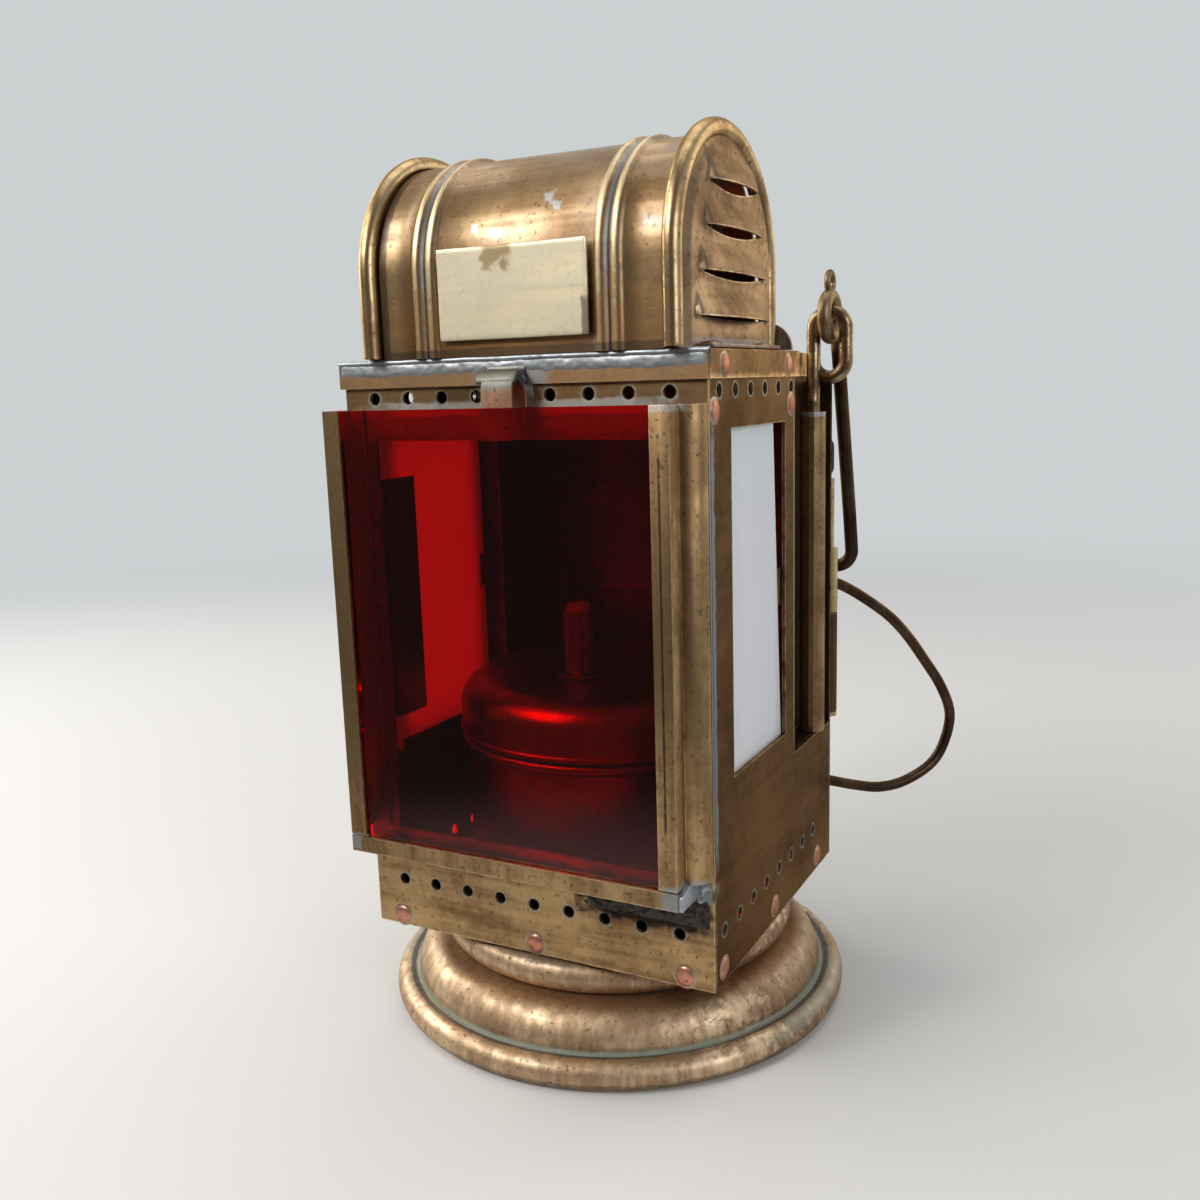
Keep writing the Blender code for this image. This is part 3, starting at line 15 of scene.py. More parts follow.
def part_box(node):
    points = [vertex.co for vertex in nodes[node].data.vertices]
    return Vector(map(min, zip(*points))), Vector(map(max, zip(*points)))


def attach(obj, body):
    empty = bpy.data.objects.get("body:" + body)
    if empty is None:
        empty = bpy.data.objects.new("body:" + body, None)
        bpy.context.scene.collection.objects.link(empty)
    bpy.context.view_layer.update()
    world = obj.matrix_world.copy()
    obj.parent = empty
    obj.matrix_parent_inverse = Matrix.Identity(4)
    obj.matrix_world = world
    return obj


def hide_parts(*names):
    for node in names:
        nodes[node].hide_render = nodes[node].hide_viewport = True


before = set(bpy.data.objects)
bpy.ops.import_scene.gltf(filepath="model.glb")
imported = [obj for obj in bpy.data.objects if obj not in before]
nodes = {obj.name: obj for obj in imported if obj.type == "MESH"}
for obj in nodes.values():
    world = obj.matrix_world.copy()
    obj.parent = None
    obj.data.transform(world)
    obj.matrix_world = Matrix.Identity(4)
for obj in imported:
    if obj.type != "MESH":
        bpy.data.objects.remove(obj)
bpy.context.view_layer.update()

# %% [markdown]
# ## Working by hand, in code
# Blender's operators act on whatever is selected, and the loaded solids start out selected.
# So each step begins by letting go of everything, and takes up only the piece it works on.

# %% Take up and let go
MM = 0.001
WELD = 0.00002
HALF_TURN = math.pi
QUARTER_TURN = math.pi / 2


def let_go():
    held = bpy.context.object
    if held and held.mode != "OBJECT":
        bpy.ops.object.mode_set(mode="OBJECT")
    bpy.ops.object.select_all(action="DESELECT")


def take_up(*pieces):
    let_go()
    for piece in pieces:
        piece.select_set(True)
    bpy.context.view_layer.objects.active = pieces[0]


def edit_mesh(kind="VERT", everything=True):
    """Edit mode with everything chosen, or with what was chosen in object mode."""
    bpy.ops.object.mode_set(mode="EDIT")
    bpy.ops.mesh.select_mode(type=kind)
    if everything:
        bpy.ops.mesh.select_all(action="SELECT")


def leave_mesh():
    bpy.ops.object.mode_set(mode="OBJECT")


def weld_and_face_out():
    """Merges doubled points and turns every face outwards, in object mode."""
    edit_mesh()
    bpy.ops.mesh.remove_doubles(threshold=WELD)
    bpy.ops.mesh.normals_make_consistent(inside=False)
    leave_mesh()


def apply_step(piece, kind, **settings):
    """Adds one modifier with its settings and applies it."""
    take_up(piece)
    step = piece.modifiers.new(kind.lower(), kind)
    for key, value in settings.items():
        setattr(step, key, value)
    bpy.ops.object.modifier_apply(modifier=step.name)


def soften(piece, width, segments=2, angle=50):
    """Rounds the edges that are sharper than the angle."""
    apply_step(piece, "BEVEL", width=width, segments=segments, limit_method="ANGLE",
               angle_limit=math.radians(angle))


def mm(*values):
    """Millimetres to metres, as a vector."""
    return Vector([value * MM for value in values])


def clamp(value):
    return min(1.0, max(0.0, value))


def ease(share):
    """A soft step from 0 to 1."""
    return share * share * (3 - 2 * share)


def add_grid(name, columns, rows, width=1, height=1):
    """A flat grid about the origin."""
    let_go()
    bpy.ops.mesh.primitive_grid_add(x_subdivisions=columns, y_subdivisions=rows, size=1, location=(0, 0, 0))
    piece = bpy.context.object
    piece.name = name
    piece.scale = (width, height, 1)
    bpy.ops.object.transform_apply(scale=True)
    return piece


def put_in_place(piece, turn, place):
    piece.rotation_euler = turn
    piece.location = place
    bpy.ops.object.transform_apply(location=True, rotation=True)


print("helpers ready")

# %% [markdown]
# ## Drawing a line point by point
# A section or a wire's route is a chain of points. By hand it is one point, extruded again and
# again. The same chain then becomes a turned piece, a folded sheet or a round wire.

# %% Lines, turned pieces, folded sheets and wires
def name_piece(name):
    """Names the active piece and its mesh."""
    piece = bpy.context.object
    piece.name = name
    piece.data.name = name
    return piece


def draw_line(name, points):
    """A chain of edges through the points, made from one point by extruding it."""
    let_go()
    bpy.ops.mesh.primitive_plane_add(size=MM, location=points[0])
    piece = name_piece(name)
    bpy.ops.object.transform_apply(location=True)
    edit_mesh()
    bpy.ops.mesh.merge(type="CENTER")
    for start, end in zip(points, points[1:]):
        bpy.ops.mesh.extrude_vertices_move(TRANSFORM_OT_translate={"value": Vector(end) - Vector(start)})
    leave_mesh()
    return piece


def turn_section(name, section, steps=128, centre=(0, 0)):
    """Spins a section of (radius, height) points, in millimetres, about an upright axis."""
    points = [mm(centre[0] + radius, centre[1], height) for radius, height in section]
    piece = draw_line(name, points)
    edit_mesh()
    bpy.ops.mesh.spin(steps=steps, angle=2 * HALF_TURN, center=mm(*centre, 0), axis=(0, 0, 1))
    leave_mesh()
    weld_and_face_out()
    return piece


def fold_sheet(name, path, along, thickness, edge=0.12 * MM):
    """A line drawn out to a sheet along a vector, then given its thickness and soft edges."""
    piece = draw_line(name, path)
    edit_mesh()
    bpy.ops.mesh.extrude_region_move(TRANSFORM_OT_translate={"value": along})
    leave_mesh()
    apply_step(piece, "SOLIDIFY", thickness=thickness, offset=0, use_even_offset=True)
    soften(piece, edge, angle=40)
    weld_and_face_out()
    return piece


def bend_wire(name, points, radius, closed=False, sides=16):
    """A round wire along a smooth route."""
    piece = draw_line(name, points)
    take_up(piece)
    bpy.ops.object.convert(target="CURVE")
    curve = bpy.context.object.data
    curve.dimensions = "3D"
    curve.bevel_depth = radius
    curve.bevel_resolution = sides // 2 - 2
    curve.use_fill_caps = not closed
    curve.splines[0].use_cyclic_u = closed
    bpy.ops.object.convert(target="MESH")
    weld_and_face_out()
    return bpy.context.object


def arc_points(centre, radius, start, end, steps):
    """Points (u, v) on an arc, both ends included, angles in degrees."""
    spread = [math.radians(start + (end - start) * i / steps) for i in range(steps + 1)]
    return [(centre[0] + radius * math.cos(a), centre[1] + radius * math.sin(a)) for a in spread]


def smooth_route(points, steps):
    """A Catmull-Rom curve through the points."""
    path = [Vector(point) for point in points]
    ends = [path[0] * 2 - path[1], *path, path[-1] * 2 - path[-2]]
    route = []
    for a, b, c, d in zip(ends, ends[1:], ends[2:], ends[3:]):
        for k in range(steps):
            t = k / steps
            route.append((b * 2 + (c - a) * t + (a * 2 - b * 5 + c * 4 - d) * t * t
                          + (b * 3 - a - c * 3 + d) * t * t * t) / 2)
    return [*route, path[-1]]


def join_pieces(name, pieces):
    take_up(*pieces)
    bpy.ops.object.join()
    return name_piece(name)


def copy_piece(piece, name, turn=None):
    """A copy with its own mesh, turned about the origin where a matrix is given."""
    take_up(piece)
    bpy.ops.object.duplicate()
    twin = name_piece(name)
    if turn is not None:
        twin.data.transform(turn)
        weld_and_face_out()
    return twin


def hand_over(piece, material, body="lamp", stands_for=(), angle=50):
    """Gives a finished piece its shading, material and body."""
    take_up(piece)
    bpy.ops.object.transform_apply(location=True, rotation=True, scale=True)
    bpy.ops.object.shade_smooth_by_angle(angle=math.radians(angle))
    piece.data.materials.clear()
    piece.data.materials.append(material)
    if stands_for:
        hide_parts(*stands_for)
    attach(piece, body)
    let_go()
    print(f"{piece.name}: {len(piece.data.polygons)} faces")
    return piece


# %% [markdown]
# ## The camera
# The picture was taken with a phone, close to the lamp and a little above its middle. The
# place, the turn and the lens were found by matching the lamp's known corners to the picture.

# %% Camera
CAMERA_PLACE = (0.13694, -0.26645, 0.15811)
CAMERA_AZIMUTH = math.radians(27.66)
CAMERA_PITCH = math.radians(10.43)
CAMERA_ROLL = math.radians(-1.72)
CAMERA_LENS = 35.23


def aim_camera():
    heading = Euler((QUARTER_TURN - CAMERA_PITCH, 0, CAMERA_AZIMUTH), "XYZ").to_matrix()
    tilt = Matrix.Rotation(CAMERA_ROLL, 3, "Z")
    return (heading @ tilt).to_euler()


let_go()
bpy.ops.object.camera_add(location=CAMERA_PLACE, rotation=aim_camera())
camera = bpy.context.object
camera.name = "picture_camera"
camera.data.sensor_width = 36
camera.data.lens = CAMERA_LENS
camera.data.clip_start = 0.005
bpy.context.scene.camera = camera
print("camera at", tuple(camera.location))

# %% [markdown]
# ## Small tools for node trees
# A finish is a tree of nodes. Each tool adds one node, feeds it sockets or plain values, and
# gives back the socket that comes out.

# %% Node tools
def feed(tree, value, target):
    """Links a socket, or sets a plain value. A colour is given as three numbers."""
    if isinstance(value, bpy.types.NodeSocket):
        tree.links.new(value, target)
    else:
        target.default_value = (*value, 1) if target.type == "RGBA" else value


def fill(tree, node, **values):
    """Feeds a node's inputs by name, with _ for each space."""
    for label, value in values.items():
        feed(tree, value, node.inputs[label.replace("_", " ")])
    return node


def add_node(tree, kind, **values):
    return fill(tree, tree.nodes.new("ShaderNode" + kind), **values)


def math_node(tree, operation, *values, clamp=False):
    made = add_node(tree, "Math")
    made.operation = operation
    made.use_clamp = clamp
    for value, target in zip(values, made.inputs):
        feed(tree, value, target)
    return made.outputs[0]


def times(tree, first, second):
    return math_node(tree, "MULTIPLY", first, second)


def plus(tree, first, second):
    return math_node(tree, "ADD", first, second)


def minus(tree, first, second):
    return math_node(tree, "SUBTRACT", first, second)


def larger(tree, first, second):
    return math_node(tree, "MAXIMUM", first, second)


def vector_node(tree, operation, *values):
    made = add_node(tree, "VectorMath")
    made.operation = operation
    for value, target in zip(values, made.inputs):
        feed(tree, value, target)
    return made.outputs["Value" if operation in ("DOT_PRODUCT", "LENGTH") else "Vector"]


def mix_colour(tree, factor, first, second):
    made = add_node(tree, "Mix")
    made.data_type = "RGBA"
    return fill(tree, made, Factor=factor, A=first, B=second).outputs["Result"]


def ramp(tree, value, low, high):
    """0 below low, 1 above high, smooth between."""
    made = add_node(tree, "MapRange")
    made.interpolation_type = "SMOOTHSTEP"
    return fill(tree, made, Value=value, From_Min=low, From_Max=high).outputs["Result"]


def noise_node(tree, place, scale, detail=4.0, roughness=0.55, distortion=0.0):
    return add_node(tree, "TexNoise", Vector=place, Scale=scale, Detail=detail, Roughness=roughness,
                    Distortion=distortion).outputs["Fac"]


def spot(tree):
    return add_node(tree, "TexCoord").outputs["Object"]


def axes(tree, place):
    """The three numbers of a place, to be taken by X, Y or Z."""
    return add_node(tree, "SeparateXYZ", Vector=place).outputs


def new_material(name, **values):
    """A material, its tree and its main shader, with plain values on the shader's sockets."""
    material = bpy.data.materials.new(name)
    material.use_nodes = True
    tree = material.node_tree
    return material, tree, fill(tree, tree.nodes["Principled BSDF"], **values)


def mix_shaders(tree, share, first, second):
    """Two shaders in one surface."""
    both = add_node(tree, "MixShader", Fac=share)
    tree.links.new(first.outputs[0], both.inputs[1])
    tree.links.new(second.outputs[0], both.inputs[2])
    tree.links.new(both.outputs[0], tree.nodes["Material Output"].inputs["Surface"])


print("node tools ready")

# %% [markdown]
# ## Floor, backdrop and light
# Metal shows what stands around it. A plain pale room all round would leave brass flat, so the
# room that the metal and the glass see is pale behind the lamp and dim in front of it, as in a
# real studio. The camera itself sees only the pale colour, and the floor fades into it.

# %% Room
PALE_ROOM = (0.60, 0.63, 0.64)
DIM_ROOM = (0.085, 0.08, 0.075)
ROOM_LIGHT = (0.32, 0.33, 0.34)
ROOM_FADE = (-0.45, 0.55)

world = bpy.data.worlds.new("pale_room")
bpy.context.scene.world = world
world.use_nodes = True
room = world.node_tree
rays = add_node(room, "LightPath").outputs
heading = axes(room, add_node(room, "TexCoord").outputs["Generated"])
mirrored = mix_colour(room, ramp(room, heading["Y"], *ROOM_FADE), DIM_ROOM, PALE_ROOM)
shiny = larger(room, rays["Is Glossy Ray"], rays["Is Transmission Ray"])
unseen = mix_colour(room, shiny, ROOM_LIGHT, mirrored)
fill(room, room.nodes["Background"], Color=mix_colour(room, rays["Is Camera Ray"], unseen, PALE_ROOM))
bpy.context.scene.view_settings.view_transform = "Standard"
print("room ready")

# %% [markdown]
# ### Floor
# The floor catches the shadow near the lamp. Further out it takes on the room's own colour,
# so that no line shows where it ends.

# %% Floor
PALE_FLOOR = (0.60, 0.585, 0.565)
FLOOR_SIZE = 6.0
FLOOR_DROP = 0.02 * MM
CAMERA_FADE = (0.30, 0.95)
MIRROR_FADE = (0.08, 0.26)
FLOOR_FADE = (-0.25, 0.35)


def pale_floor():
    """Matt near the lamp, where its shadow falls, and the room's own colour further out."""
    material, tree, shader = new_material("floor_pale", Base_Color=PALE_FLOOR, Roughness=0.7)
    here = spot(tree)
    away = vector_node(tree, "LENGTH", here)
    path = add_node(tree, "LightPath").outputs
    seen = larger(tree, path["Is Camera Ray"], path["Is Transmission Ray"])
    far_seen = times(tree, ramp(tree, away, *CAMERA_FADE), seen)
    far_mirrored = times(tree, ramp(tree, away, *MIRROR_FADE), path["Is Glossy Ray"])
    reflected = mix_colour(tree, ramp(tree, axes(tree, here)["Y"], *FLOOR_FADE), DIM_ROOM, PALE_ROOM)
    glow = add_node(tree, "Emission", Color=mix_colour(tree, path["Is Glossy Ray"], PALE_ROOM, reflected))
    mix_shaders(tree, larger(tree, far_seen, far_mirrored), shader, glow)
    return material


let_go()
bpy.ops.mesh.primitive_plane_add(size=FLOOR_SIZE, location=(0, 0, -FLOOR_DROP))
floor = bpy.context.object
floor.name = "floor"
floor.data.materials.append(pale_floor())
print("floor ready")

# %% [markdown]
# ### Lamps
# A wide window stands high in front and to the left. It makes the long bright line on the
# roof and the bright spot at the roof's right end. The other lamps are weak and only open
# the shadows.

# %% Lamps
def add_lamp(name, place, target, size, power, colour=(1, 1, 1)):
    let_go()
    bpy.ops.object.light_add(type="AREA", location=place)
    lamp = bpy.context.object
    lamp.name = name
    lamp.data.shape = "RECTANGLE"
    lamp.data.size, lamp.data.size_y = size
    lamp.data.energy = power
    lamp.data.color = colour
    lamp.rotation_euler = (Vector(target) - Vector(place)).to_track_quat("-Z", "Y").to_euler()
    return lamp


add_lamp("window_front", (-0.40, -0.55, 0.66), (0, 0, 0.12), (0.60, 0.34), 4.2, (1.0, 0.985, 0.96))
add_lamp("spark", (-0.264, -0.55, 0.573), (0, 0, 0.18), (0.10, 0.08), 1.1)
add_lamp("window_side", (-0.80, 0.05, 0.45), (0, 0, 0.10), (0.60, 0.60), 4.6, (1.0, 0.98, 0.95))
add_lamp("ceiling", (0.0, 0.20, 0.95), (0, 0, 0.10), (0.70, 0.70), 2.4)
add_lamp("fill_right", (0.70, -0.35, 0.40), (0, 0, 0.10), (0.45, 0.45), 2.2, (0.95, 0.98, 1.0))
add_lamp("fill_rear", (0.45, 0.80, 0.45), (0, 0, 0.10), (0.60, 0.60), 1.6)

# %% [markdown]
# ## Node groups for effects that several finishes share
# Old brass is never one colour. It has clouds of brown tarnish, fine drawing marks, and gold
# where hands and cloths have rubbed the edges. Each effect is a node group that puts out a
# colour, a mask or a height, and each finish sets its own values.

# %% Starting a group
def new_group(name, inputs, *outputs):
    """An empty group. One, three or four numbers stand for a value, a vector or a colour."""
    group = bpy.data.node_groups.new(name, "ShaderNodeTree")
    for label, value in inputs.items():
        kind = "Float" if isinstance(value, float) else "Vector" if len(value) == 3 else "Color"
        made = group.interface.new_socket(name=label, in_out="INPUT", socket_type="NodeSocket" + kind)
        made.default_value = value
    for label in outputs:
        kind = "Color" if label == "Color" else "Float"
        group.interface.new_socket(name=label, in_out="OUTPUT", socket_type="NodeSocket" + kind)
    return group, group.nodes.new("NodeGroupInput").outputs, group.nodes.new("NodeGroupOutput").inputs


print("group starter ready")

# %% [markdown]
# ### Tarnish
# Two sizes of cloud, one broad and one fine, move the colour from gold to brown, and dark
# specks sit where moisture has bitten. A stretched noise gives the lines of rolling and
# polishing. The group puts out the colour, the roughness and a height for the bump.

# %% Tarnish group
def build_tarnish():
    group, given, out = new_group("tarnish", {
        "Gold": (0.55, 0.40, 0.20, 1), "Brown": (0.30, 0.19, 0.09, 1), "Dark": (0.05, 0.035, 0.025, 1),
        "Balance": 0.5, "Specks": 0.5, "Cloud Scale": 40.0, "Stretch": (1, 1, 12), "Streaks": 0.5,
        "Shift": (0, 0, 0)}, "Color", "Roughness", "Height")
    here = vector_node(group, "ADD", spot(group), given["Shift"])
    broad = noise_node(group, here, given["Cloud Scale"], 3.0, 0.6, 0.4)
    fine = noise_node(group, here, times(group, given["Cloud Scale"], 9.0), 4.0, 0.7)
    lines = noise_node(group, vector_node(group, "MULTIPLY", here, given["Stretch"]), 420.0, 2.0, 0.6)
    clouds = plus(group, times(group, broad, 0.7), times(group, fine, 0.3))
    streaked = times(group, minus(group, lines, 0.5), given["Streaks"])
    level = plus(group, clouds, times(group, streaked, 0.5))
    gold_share = ramp(group, level, minus(group, given["Balance"], 0.16), plus(group, given["Balance"], 0.16))
    colour = mix_colour(group, gold_share, given["Brown"], given["Gold"])
    specks = ramp(group, noise_node(group, here, 900.0, 2.0, 0.5), 0.60, 0.72)
    blots = ramp(group, noise_node(group, here, 150.0, 5.0, 0.65, 0.8), 0.58, 0.72)
    dark_mask = larger(group, times(group, specks, given["Specks"]),
                       times(group, blots, times(group, given["Specks"], 0.55)))
    feed(group, mix_colour(group, dark_mask, colour, given["Dark"]), out["Color"])
    rough = minus(group, 0.44, times(group, gold_share, 0.16))
    rough = plus(group, rough, times(group, fine, 0.10))
    feed(group, plus(group, rough, times(group, dark_mask, 0.25)), out["Roughness"])
    height = plus(group, times(group, streaked, 0.6), times(group, fine, 0.3))
    feed(group, minus(group, height, times(group, dark_mask, 0.5)), out["Height"])
    return group


TARNISH = build_tarnish()
print("group:", TARNISH.name)

# %% [markdown]
# ### Worn edges
# A rounded-edge normal differs from the true one only near an edge. Their dot product finds
# the edges, and a noise breaks the line up, because hands don't rub evenly.

# %% Worn edge group
def build_edge_wear():
    group, given, out = new_group("edge_wear", {"Radius": 0.0008, "Amount": 1.0, "Breaks": 260.0}, "Mask")
    bevel = add_node(group, "Bevel", Radius=given["Radius"])
    bevel.samples = 6
    true_normal = add_node(group, "NewGeometry").outputs["Normal"]
    closeness = vector_node(group, "DOT_PRODUCT", bevel.outputs["Normal"], true_normal)
    edge = ramp(group, minus(group, 1.0, closeness), 0.015, 0.14)
    breaks = noise_node(group, spot(group), given["Breaks"], 4.0, 0.65)
    broken = times(group, edge, ramp(group, breaks, 0.34, 0.58))
    feed(group, math_node(group, "MULTIPLY", broken, given["Amount"], clamp=True), out["Mask"])
    return group


EDGE_WEAR = build_edge_wear()
print("group:", EDGE_WEAR.name)

# %% [markdown]
# ### Patches
# Painted shade is laid the same way, on shaded sides and in creases.
# Solder, soot and green bloom sit in known places: along a joint, in a corner, round a hole.
# The group measures how far a point is from a box, and noise frays the border.

# %% Patch group
def frayed(group, here, given, far, detail, *rest):
    """The distance with its border roughened by noise."""
    fray = minus(group, noise_node(group, here, given["Fray Scale"], detail, *rest), 0.5)
    return plus(group, far, times(group, fray, given["Fray"]))


def build_patch():
    group, given, out = new_group("patch", {
        "Centre": (0, 0, 0), "Half Size": (0.01, 0.01, 0.01), "Softness": 0.4, "Fray": 0.5,
        "Fray Scale": 220.0}, "Mask")
    here = spot(group)
    offset = vector_node(group, "ABSOLUTE", vector_node(group, "SUBTRACT", here, given["Centre"]))
    shares = axes(group, vector_node(group, "DIVIDE", offset, given["Half Size"]))
    far = larger(group, shares["X"], larger(group, shares["Y"], shares["Z"]))
    far = frayed(group, here, given, far, 5.0, 0.65, 0.5)
    inner = minus(group, 1.0, given["Softness"])
    feed(group, minus(group, 1.0, ramp(group, far, inner, 1.0)), out["Mask"])
    return group


PATCH = build_patch()
print("group:", PATCH.name)

# %% [markdown]
# ### Bands round a turned piece
# What settles on a spun foot follows its rings, and so does the shade painted into its joins,
# so the same idea is measured from the axis: how far out, and how high.

# %% Band group
def build_band():
    group, given, out = new_group("band", {
        "Radius": 0.05, "Height": 0.005, "Reach": 0.001, "Rise": 0.001, "Fray": 0.6,
        "Fray Scale": 260.0}, "Mask")
    here = spot(group)
    radius = vector_node(group, "LENGTH", vector_node(group, "MULTIPLY", here, (1, 1, 0)))
    across = math_node(group, "ABSOLUTE", minus(group, radius, given["Radius"]))
    up = math_node(group, "ABSOLUTE", minus(group, axes(group, here)["Z"], given["Height"]))
    far = larger(group, math_node(group, "DIVIDE", across, given["Reach"]),
                 math_node(group, "DIVIDE", up, given["Rise"]))
    far = frayed(group, here, given, far, 4.0, 0.6)
    feed(group, minus(group, 1.0, ramp(group, far, 0.45, 1.0)), out["Mask"])
    return group


BAND = build_band()
print("group:", BAND.name)

# %% [markdown]
# ### Rings round the holes
# A pale bloom stands round each vent hole. The holes sit in rows with an even pitch, so the
# distance to the nearest hole comes from a modulo along the row.

# %% Hole ring group
def build_hole_rings():
    group, given, out = new_group("hole_rings", {
        "Along": 0.0, "Up": 0.0, "First": 0.0, "Pitch": 0.0094, "Count": 9.0, "Row Height": 0.0,
        "Hole Radius": 0.0015, "Width": 0.0008}, "Mask")
    half = times(group, given["Pitch"], 0.5)
    run = plus(group, minus(group, given["Along"], given["First"]), half)
    side = minus(group, math_node(group, "FLOORED_MODULO", run, given["Pitch"]), half)
    rise = minus(group, given["Up"], given["Row Height"])
    away = math_node(group, "SQRT", plus(group, times(group, side, side), times(group, rise, rise)))
    fray = minus(group, noise_node(group, spot(group), 600.0, 3.0, 0.6), 0.5)
    away = plus(group, away, times(group, fray, 0.0014))
    edge = plus(group, given["Hole Radius"], given["Width"])
    ring = minus(group, 1.0, ramp(group, away, given["Hole Radius"], edge))
    length = times(group, given["Pitch"], given["Count"])
    in_row = times(group, math_node(group, "GREATER_THAN", run, 0.0),
                   math_node(group, "LESS_THAN", run, length))
    feed(group, times(group, ring, in_row), out["Mask"])
    return group


HOLE_RINGS = build_hole_rings()
print("group:", HOLE_RINGS.name)

# %% [markdown]
# ## The finishes
# One function builds every brass: tarnish first, then rubbed edges, then any patches of
# solder, soot, bloom or painted shade, and last a bump from the tarnish's height. Each piece of the
# lamp has aged in its own way, so each gets its own colours and its own shift of the pattern;
# the side sheets' darker colours are painted shade, and the clips' brighter copper painted light.

# %% Metal finishes
BLACK_SPOT = (0.035, 0.026, 0.022)
RUBBED_GOLD = (0.86, 0.70, 0.42)
GLANCE = (0.76, 0.60, 0.46)
SILVER_GLANCE = (0.92, 0.94, 0.96)
WAX_ROUGHNESS = 0.20
SOLDER_GREY = (0.40, 0.42, 0.43)
SOLDER_BLUE = (0.27, 0.30, 0.33)
SOLDER_DULL = (0.20, 0.21, 0.185)
BLOOM_GREEN = (0.33, 0.36, 0.29)
BLOOM_WHITE = (0.56, 0.60, 0.54)
SOOT = (0.020, 0.018, 0.018)
# Painted shade: a dark brown laid in the creases and joins where parts meet, and at the foot's edge on the
# floor.
CREASE_SHADE = (0.075, 0.055, 0.040)
RING_STRENGTH = 0.6


def group_node(tree, group, **values):
    made = add_node(tree, "Group")
    made.node_tree = group
    return fill(tree, made, **values)


def add_rows(tree, rows):
    """The joined mask of several rows of hole rings: (axis, first, pitch, count, height)."""
    here = axes(tree, spot(tree))
    total = 0.0
    for axis, first, pitch, count, height in rows:
        ring = group_node(tree, HOLE_RINGS, Along=here[axis], Up=here["Z"], First=first * MM,
                          Pitch=pitch * MM, Count=count, Row_Height=height * MM)
        total = larger(tree, ring.outputs["Mask"], total)
    return total


def brass(name, gold, brown, dark=BLACK_SPOT, balance=0.5, specks=0.5, cloud=40.0, stretch=(1, 1, 0.06),
          streaks=0.5, shift=(0, 0, 0), wear=0.8, wear_radius=0.0007, patches=(), bands=(), rows=(),
          metallic=1.0, bump=0.00005, gloss=0.0, glance=GLANCE, wax=0.0):
    """An aged metal. Glance is the colour that it has at a flat angle, and wax a thin clear coat.
    Patches are (centre, half size, colour, strength, fray) and bands (radius, height, reach, rise,
    colour, strength, fray), in millimetres."""
    material, tree, shader = new_material(name, Metallic=metallic, Specular_Tint=glance, Coat_Weight=wax,
                                          Coat_Roughness=WAX_ROUGHNESS)
    tarnish = group_node(tree, TARNISH, Gold=gold, Brown=brown, Dark=dark, Balance=balance, Specks=specks,
                         Cloud_Scale=cloud, Stretch=stretch, Streaks=streaks, Shift=shift).outputs
    worn = group_node(tree, EDGE_WEAR, Radius=wear_radius, Amount=wear).outputs["Mask"]
    colour = mix_colour(tree, worn, tarnish["Color"], RUBBED_GOLD)
    rough = minus(tree, minus(tree, tarnish["Roughness"], times(tree, worn, 0.12)), gloss)
    if rows:
        rings = times(tree, add_rows(tree, rows), RING_STRENGTH)
        colour = mix_colour(tree, rings, colour, BLOOM_GREEN)
        rough = plus(tree, rough, times(tree, rings, 0.25))
    masks = [(group_node(tree, PATCH, Centre=mm(*centre), Half_Size=mm(*half), Fray=fray), tint, strength)
             for centre, half, tint, strength, fray in patches]
    masks += [(group_node(tree, BAND, Radius=radius * MM, Height=height * MM, Reach=reach * MM,
                          Rise=rise * MM, Fray=fray), tint, strength)
              for radius, height, reach, rise, tint, strength, fray in bands]
    for patch, tint, strength in masks:
        mask = times(tree, patch.outputs["Mask"], strength)
        colour = mix_colour(tree, mask, colour, tint)
        rough = plus(tree, rough, times(tree, mask, 0.08))
    relief = add_node(tree, "Bump", Strength=1.0, Distance=bump, Height=tarnish["Height"])
    fill(tree, shader, Base_Color=colour, Roughness=rough, Normal=relief.outputs["Normal"])
    return material


print("brass maker ready")

# %% [markdown]
# ### The body
# The sheets are dark, with soot where the lamp's warm air came out, solder along the joints
# and bloom above the glass. The side sheets are painted darker still, as shade on the sides away
# from the main light; the cap's right side gets painted shade, and the pane clips painted light
# against the shade inside. Each patch is put where the picture shows it.

# %% Finishes of the body
FRONT_FACE = -43.6
FRONT_ROWS = [("X", -37.6, 9.4, 9.0, 37.1), ("X", -37.6, 9.4, 9.0, 156.1)]
SIDE_ROWS = [("Y", -37.35, 9.3, 8.0, 37.1), ("Y", -37.35, 9.3, 6.0, 156.1)]
sheet_front = brass(
    "brass_front", (0.50, 0.33, 0.16), (0.24, 0.138, 0.062), rows=FRONT_ROWS, streaks=0.9,
    stretch=(0.05, 1, 1),
    patches=[
        ((0, FRONT_FACE, 45.8), (46, 3, 4.2), SOOT, 0.8, 1.0),
        ((29, FRONT_FACE, 43.0), (20, 3, 6.0), SOOT, 0.95, 1.2),
        ((0, FRONT_FACE, 153.5), (44, 3, 2.0), BLOOM_WHITE, 0.85, 1.0),
        ((-14, FRONT_FACE, 159.5), (7, 3, 6.0), SOOT, 0.55, 1.2),
        ((-1, FRONT_FACE, 157.0), (8.5, 3, 8.0), SOLDER_GREY, 0.9, 0.7),
        ((45.5, FRONT_FACE, 106), (1.8, 3, 56), SOLDER_BLUE, 0.85, 0.5)])
